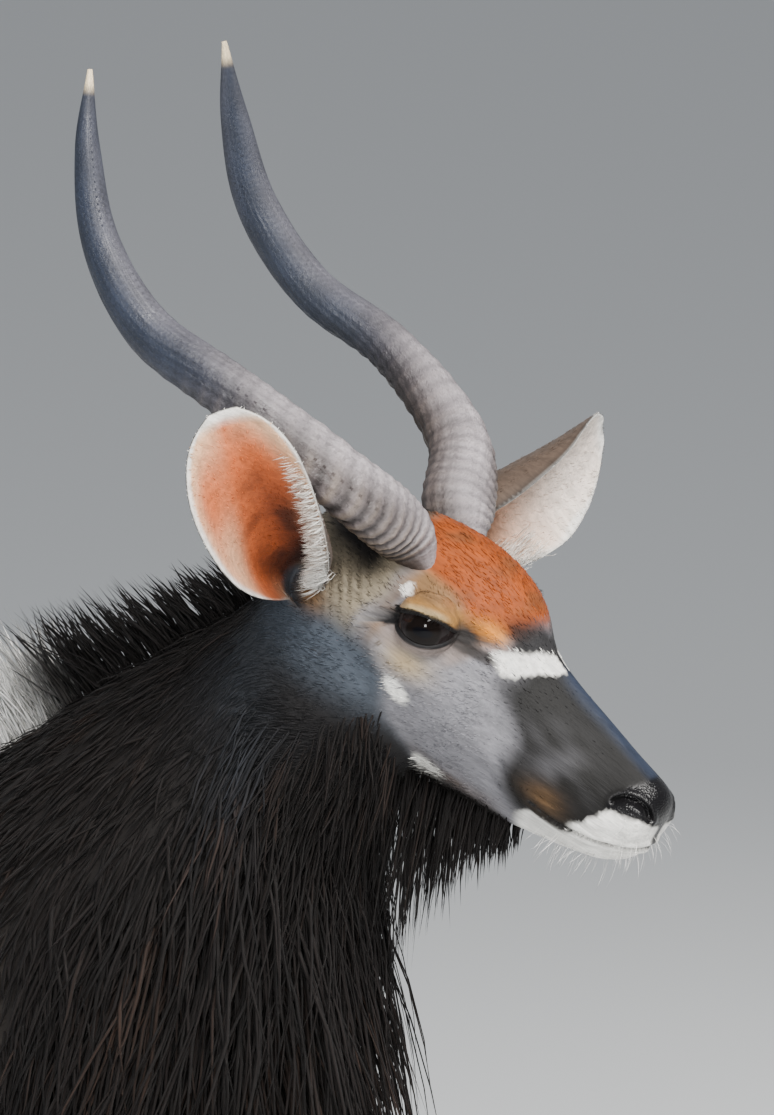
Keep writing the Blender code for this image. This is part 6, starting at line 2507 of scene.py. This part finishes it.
@dataclass
class Horn:
    """One spiral horn."""

    side: int
    rings: int = 260
    segments: int = 72
    twist: float = math.radians(215)
    keel: float = 0.2
    ridge: float = 0.05
    # The way that the horn's painted-lit side faces: up and forwards.
    lit_way: tuple[float, float, float] = (0.6, 0.0, 0.8)
    brown: Colour = srgb(52, 41, 34)
    # Dark horn of the smooth upper part, with a painted blue sheen.
    grey: Colour = srgb(34, 40, 53)
    pale: Colour = srgb(184, 176, 180)
    dark: Colour = srgb(15, 13, 13)
    crown: Colour = srgb(146, 128, 104)
    ivory: Colour = srgb(226, 206, 170)

    def build(self) -> bpy.types.Object:
        """Makes the horn with its keel, waves and colours."""
        rows = spline(HORN_LINE, self.rings)
        middle = level_points(rows, self.side)
        share = np.linspace(0, 1, self.rings)
        turn = np.linspace(0, 2 * math.pi, self.segments, endpoint=False)
        runs = unit(np.gradient(middle, axis=0))
        across = LEFT * float(self.side)
        rings = np.empty((self.rings, self.segments, 3))
        tones = np.empty((self.rings, self.segments, 3))
        for i, (run, radius) in enumerate(zip(runs, rows[:, 3])):
            across = unit(across - run * (across @ run))
            over_it = np.cross(run, across) * self.side
            off = turn - (self.twist * share[i] - math.radians(60))
            edge = np.maximum(np.cos(off), 0) ** 4 + 0.45 * np.maximum(-np.cos(off), 0) ** 4
            low = ease(0.045, 0.1, share[i]) * (1 - ease(0.3, 0.62, share[i]))
            phase = share[i] * 2 * math.pi * 41 + 2.2 * math.sin(share[i] * 31)
            phase = phase + 1.6 * np.cos(off) + 0.9 * np.sin(2 * off + 5 * share[i])
            wave = np.sin(phase) * (0.35 + 0.65 * np.maximum(np.cos(off - 0.5), 0))
            fade = 1 - ease(0.42, 0.9, share[i])
            lines = 0.016 * np.sin(off * 17 + 3 * math.sin(9 * share[i])) * fade
            lines = lines + 0.01 * np.sin(off * 31 + 5 * math.sin(6 * share[i]) + 1) * fade
            reach = radius * (0.93 + self.keel * edge + self.ridge * wave * low + lines)
            ways = across * np.cos(turn)[:, None] + over_it * np.sin(turn)[:, None]
            rings[i] = middle[i] + ways * reach[:, None]
            # Painted light: how far each point faces up and forwards.
            lit_side = np.clip(ways @ self.lit_way, 0, 1)
            tones[i] = self.tone(share[i], edge, wave * low, off, lit_side)
        obj = added(f"horn_{'left' if self.side > 0 else 'right'}_keratin", [tube(rings)])
        points = points_of(obj)
        colours = self.matched(points, rings.reshape(-1, 3), tones.reshape(-1, 3))
        painted_points(obj, colours)
        self.mapped(obj, points, middle, share)
        settled(obj, HornFinish.made(), points)
        name = "horn_left" if self.side > 0 else "horn_right"
        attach(obj, "root")
        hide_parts(name)
        log.info("%s: %d triangles", name, len(triangles_of(obj)))
        return obj

    def tone(self, share: float, edge: Array, wave: Array, off: Array, lit_side: Array) -> Array:
        """The horn's colours round one ring.

        Args:
            share: The ring's place from root to tip, 0 to 1.
            edge: How near each point is to the keel.
            wave: The height of the rings there, -1 to 1.
            off: The angle from the keel.
            lit_side: How far each point faces up and forwards.

        Returns:
            The colour of each point.
        """
        # Brown towards the root; the smooth upper part is dark blue-grey with a painted sheen.
        smooth = ease(0.28, 0.52, share)
        base = np.array(self.brown) * (1 - smooth) + np.array(self.grey) * smooth
        coat = Paint(plain(base, len(edge)))
        # The pale colour: lighter along the keel, and painted light on the side facing up and
        # forwards, fading on the smooth upper part.
        coat.lay(self.pale, np.clip(0.22 * edge + 0.7 * lit_side**2.4, 0, 1) * (1 - 0.82 * smooth))
        coat.lay(self.dark, 0.78 * np.clip(-wave, 0, 1))
        coat.lay(self.crown, 0.35 * np.clip(wave, 0, 1) ** 2)
        patch = 0.5 + 0.5 * np.sin(off * 2.0 + share * 23) * math.sin(share * 57 + 1)
        coat.tones *= (0.82 + 0.3 * patch)[:, None]
        coat.lay(self.ivory, np.full(len(edge), ease(0.95, 0.98, share)))
        return coat.tones

    def matched(self, points: Array, places: Array, tones: Array) -> Array:
        """The tone of the ring point that each of the mesh's points came from.

        Args:
            points: The mesh's points.
            places: The ring points.
            tones: Their colours.

        Returns:
            The mesh points' colours.
        """
        tree = KDTree(len(places))
        for i, place in enumerate(places):
            tree.insert(place, i)
        tree.balance()
        return tones[np.array([tree.find(point)[1] for point in points])]

    def mapped(self, obj: bpy.types.Object, points: Array, middle: Array, share: Array) -> None:
        """Lays the horn's grain along its line.

        Args:
            obj: The horn.
            points: Its points.
            middle: The line down its middle.
            share: How far along each point of that line is, 0 to 1.
        """
        faces = triangles_of(obj)
        nearest = np.array([np.argmin(np.sum((middle - p) ** 2, axis=1)) for p in points])
        away = points - middle[nearest]
        angle = np.arctan2(away @ LEFT * self.side, away @ np.array((0.8, 0, 0.6)))
        corner = angle[faces]
        first = corner[:, :1]
        corner = first + (corner - first + math.pi) % (2 * math.pi) - math.pi
        along = share[nearest][faces] * 520
        laid_corners(obj, "strand", np.stack([corner * 16, along], 2).reshape(-1, 2))


@dataclass
class Eyeball:
    """One eye."""

    side: int

    def build(self) -> bpy.types.Object:
        """Makes the ball with its bulging cornea, iris and level pupil."""
        centre, out, long, high = EYE.axes(self.side)
        bm = bmesh.new()
        bmesh.ops.create_uvsphere(bm, u_segments=96, v_segments=64, radius=EYE.radius * MM)
        name = "left" if self.side > 0 else "right"
        obj = added(f"eye_{name}_ball", [bm])
        local = points_of(obj)
        turned = (local[:, :1] * long + local[:, 1:2] * high + local[:, 2:] * out)
        way = unit(local)
        off = np.degrees(np.arccos(np.clip(way[:, 2], -1, 1)))
        bulge = 1.1 * bell(off, 0, 30) * MM
        points = centre + turned + unit(turned) * bulge[:, None]
        rim = ease(33, 41, off)
        iris = plain(srgb(14, 9, 7), len(off))
        iris = over(iris, srgb(30, 25, 25), rim)
        pupil = 1 - ease(0.8, 1.2, np.hypot(way[:, 0] / 0.34, way[:, 1] / 0.17))
        iris = over(iris, srgb(5, 5, 8), pupil)
        painted_points(obj, iris)
        settled(obj, EyeFinish.made(), points)
        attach(obj, "root")
        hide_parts(f"eye_{name}")
        return obj


@dataclass
class Foot:
    """The two claws and two dew claws of one foot."""

    leg: str
    long: float = 0.068
    wide: float = 0.0245
    dew_height: float = 0.098
    dew_behind: float = 0.022
    dew_spread: float = 0.011
    dew_size: float = 0.0085

    def build(self) -> None:
        """Makes and dresses the claws."""
        side = 1 if self.leg.endswith("left") else -1
        table = FORELEG if self.leg.startswith("fore") else HINDLEG
        rows = spline(table, 200)
        at = rows[np.argmin(np.abs(rows[:, 0] - CORONET))]
        for inner in (True, False):
            middle = side * at[2] + (-side if inner else side) * (self.wide / 2 + 0.0008)
            obj = added(f"{self.leg}_{'inner' if inner else 'outer'}_horn",
                [tube(self.claw(at[1], middle, at[3]))])
            self.dress(obj)
            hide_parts(f"claw_{self.leg}_{'inner' if inner else 'outer'}")
        at = rows[np.argmin(np.abs(rows[:, 0] - self.dew_height))]
        pair = []
        for way in (1, -1):
            bm = bmesh.new()
            bmesh.ops.create_uvsphere(bm, u_segments=24, v_segments=16, radius=self.dew_size)
            bmesh.ops.scale(bm, vec=(0.85, 0.8, 1.25), verts=bm.verts[:])
            bmesh.ops.translate(bm, verts=bm.verts[:], vec=(at[1] - self.dew_behind,
                side * at[2] + way * self.dew_spread, self.dew_height - 0.004))
            pair.append(bm)
        self.dress(added(f"{self.leg}_dew_claws", pair))

    def claw(self, x: float, middle: float, deep: float) -> Array:
        """Rings down one claw, with a rounded top and a flat sole.

        Args:
            x: Where the foot's middle is, forwards.
            middle: The claw's own middle, to the left.
            deep: Half the foot's depth at the coronet.

        Returns:
            Rings by points by three.
        """
        turn = np.linspace(0, 2 * math.pi, 48, endpoint=False)
        rings = []
        for share in np.concatenate([[-0.06], np.linspace(0.0, 0.985, 30), [1.0]]):
            z = max((CORONET - 0.0003) * (1 - share), 0.0)
            front = x + deep - 0.004 + (self.long - 2 * deep) * share
            back = x - deep + 0.002 - 0.004 * share
            edge = 1 - 0.05 * float(ease(0.97, 1.0, share)) - 0.25 * float(share < 0)
            wave = 0.0003 * math.sin(share * 40)
            wide = (self.wide / 2 * (0.9 + 0.1 * share) + wave) * edge
            reach = np.cos(turn)
            pinch = 1 - 0.42 * np.maximum(reach, 0) ** 2
            half = (front - back) / 2 * edge + wave
            rings.append(np.stack([(front + back) / 2 + half * reach,
                middle + wide * np.sin(turn) * pinch, np.full_like(turn, z)], 1))
        return np.array(rings)

    def dress(self, obj: bpy.types.Object) -> None:
        """Colours a claw and puts it in its place.

        Args:
            obj: The claw.
        """
        points = points_of(obj)
        tone = plain(srgb(46, 42, 40), len(points))
        tone = over(tone, srgb(92, 80, 66), 1 - ease(0.0, 0.012, points[:, 2]))
        painted_points(obj, tone)
        settled(obj, ClawFinish.made(), points)
        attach(obj, "root")


@dataclass
class Studio:
    """The pale floor, the soft light and the camera."""

    target: tuple[float, float, float] = (0.6718, 0.0061, 1.289)
    azimuth: float = math.radians(56)
    height: float = math.radians(10)
    away: float = 6.0
    seen: float = 0.669

    def build(self) -> None:
        """Sets up the picture."""
        self.floor()
        look = Vector((-math.sin(self.azimuth) * math.cos(self.height),
            math.cos(self.azimuth) * math.cos(self.height), -math.sin(self.height)))
        data = bpy.data.cameras.new("camera")
        camera = bpy.data.objects.new("camera", data)
        camera.location = Vector(self.target) - look * self.away
        camera.rotation_euler = look.to_track_quat("-Z", "Y").to_euler()
        data.sensor_width = 36.0
        data.lens = 36.0 * self.away / self.seen
        bpy.context.scene.collection.objects.link(camera)
        bpy.context.scene.camera = camera
        self.light("key", (3.25, -0.45, 4.1), 2.0, 390.0, (1.0, 0.98, 0.95), True)
        self.light("catch", (6.45, -4.32, 3.24), 1.4, 340.0, (1.0, 0.99, 0.97), True)
        self.light("side", (-1.0, -3.6, 2.2), 3.0, 60.0, (0.93, 0.96, 1.0), False)
        self.light("rim", (-1.5, 3.2, 3.0), 2.0, 110.0, (1.0, 0.99, 0.97), False)
        world = bpy.context.scene.world or bpy.data.worlds.new("sky")
        bpy.context.scene.world = world
        world.use_nodes = True
        back = world.node_tree.nodes["Background"]
        back.inputs["Color"].default_value = (0.86, 0.9, 0.96, 1)
        back.inputs["Strength"].default_value = 0.42

    def floor(self) -> None:
        """A wide pale floor."""
        bm = bmesh.new()
        bmesh.ops.create_circle(bm, cap_ends=True, segments=96, radius=60.0)
        obj = added("floor", [bm])
        made = Finish("floor", roughness=0.85, specular=0.2)
        made.main.inputs["Base Color"].default_value = (0.7, 0.71, 0.71, 1)
        obj.data.materials.append(made.material)

    def light(self, name: str, place: tuple[float, float, float], size: float, power: float,
            colour: Colour, mirrored: bool) -> None:
        """A soft square light turned towards the animal, seen in the eye or not.

        Args:
            name: The light's name.
            place: Where it stands.
            size: The length of its side.
            power: Its power in watts.
            colour: Its colour.
            mirrored: Whether the eye shows it.
        """
        data = bpy.data.lights.new(name, "AREA")
        data.size, data.energy, data.color = size, power, colour
        lamp = bpy.data.objects.new(name, data)
        lamp.location = place
        lamp.visible_glossy = mirrored
        lamp.visible_camera = False
        way = Vector((0.35, 0.0, 1.0)) - Vector(place)
        lamp.rotation_euler = way.to_track_quat("-Z", "Y").to_euler()
        bpy.context.scene.collection.objects.link(lamp)


def main() -> None:
    """Builds the bull and its studio."""
    skin = Skin()
    skin.build()
    markings = Markings(skin.lines)
    flat = Hide(skin, markings).build()
    Coat(Ground(skin, markings, flat)).build()
    for side in (1, -1):
        Horn(side).build()
        Eyeball(side).build()
    for leg in ("foreleg_left", "foreleg_right", "hindleg_left", "hindleg_right"):
        Foot(leg).build()
    Studio().build()


if __name__ == "__main__":
    main()
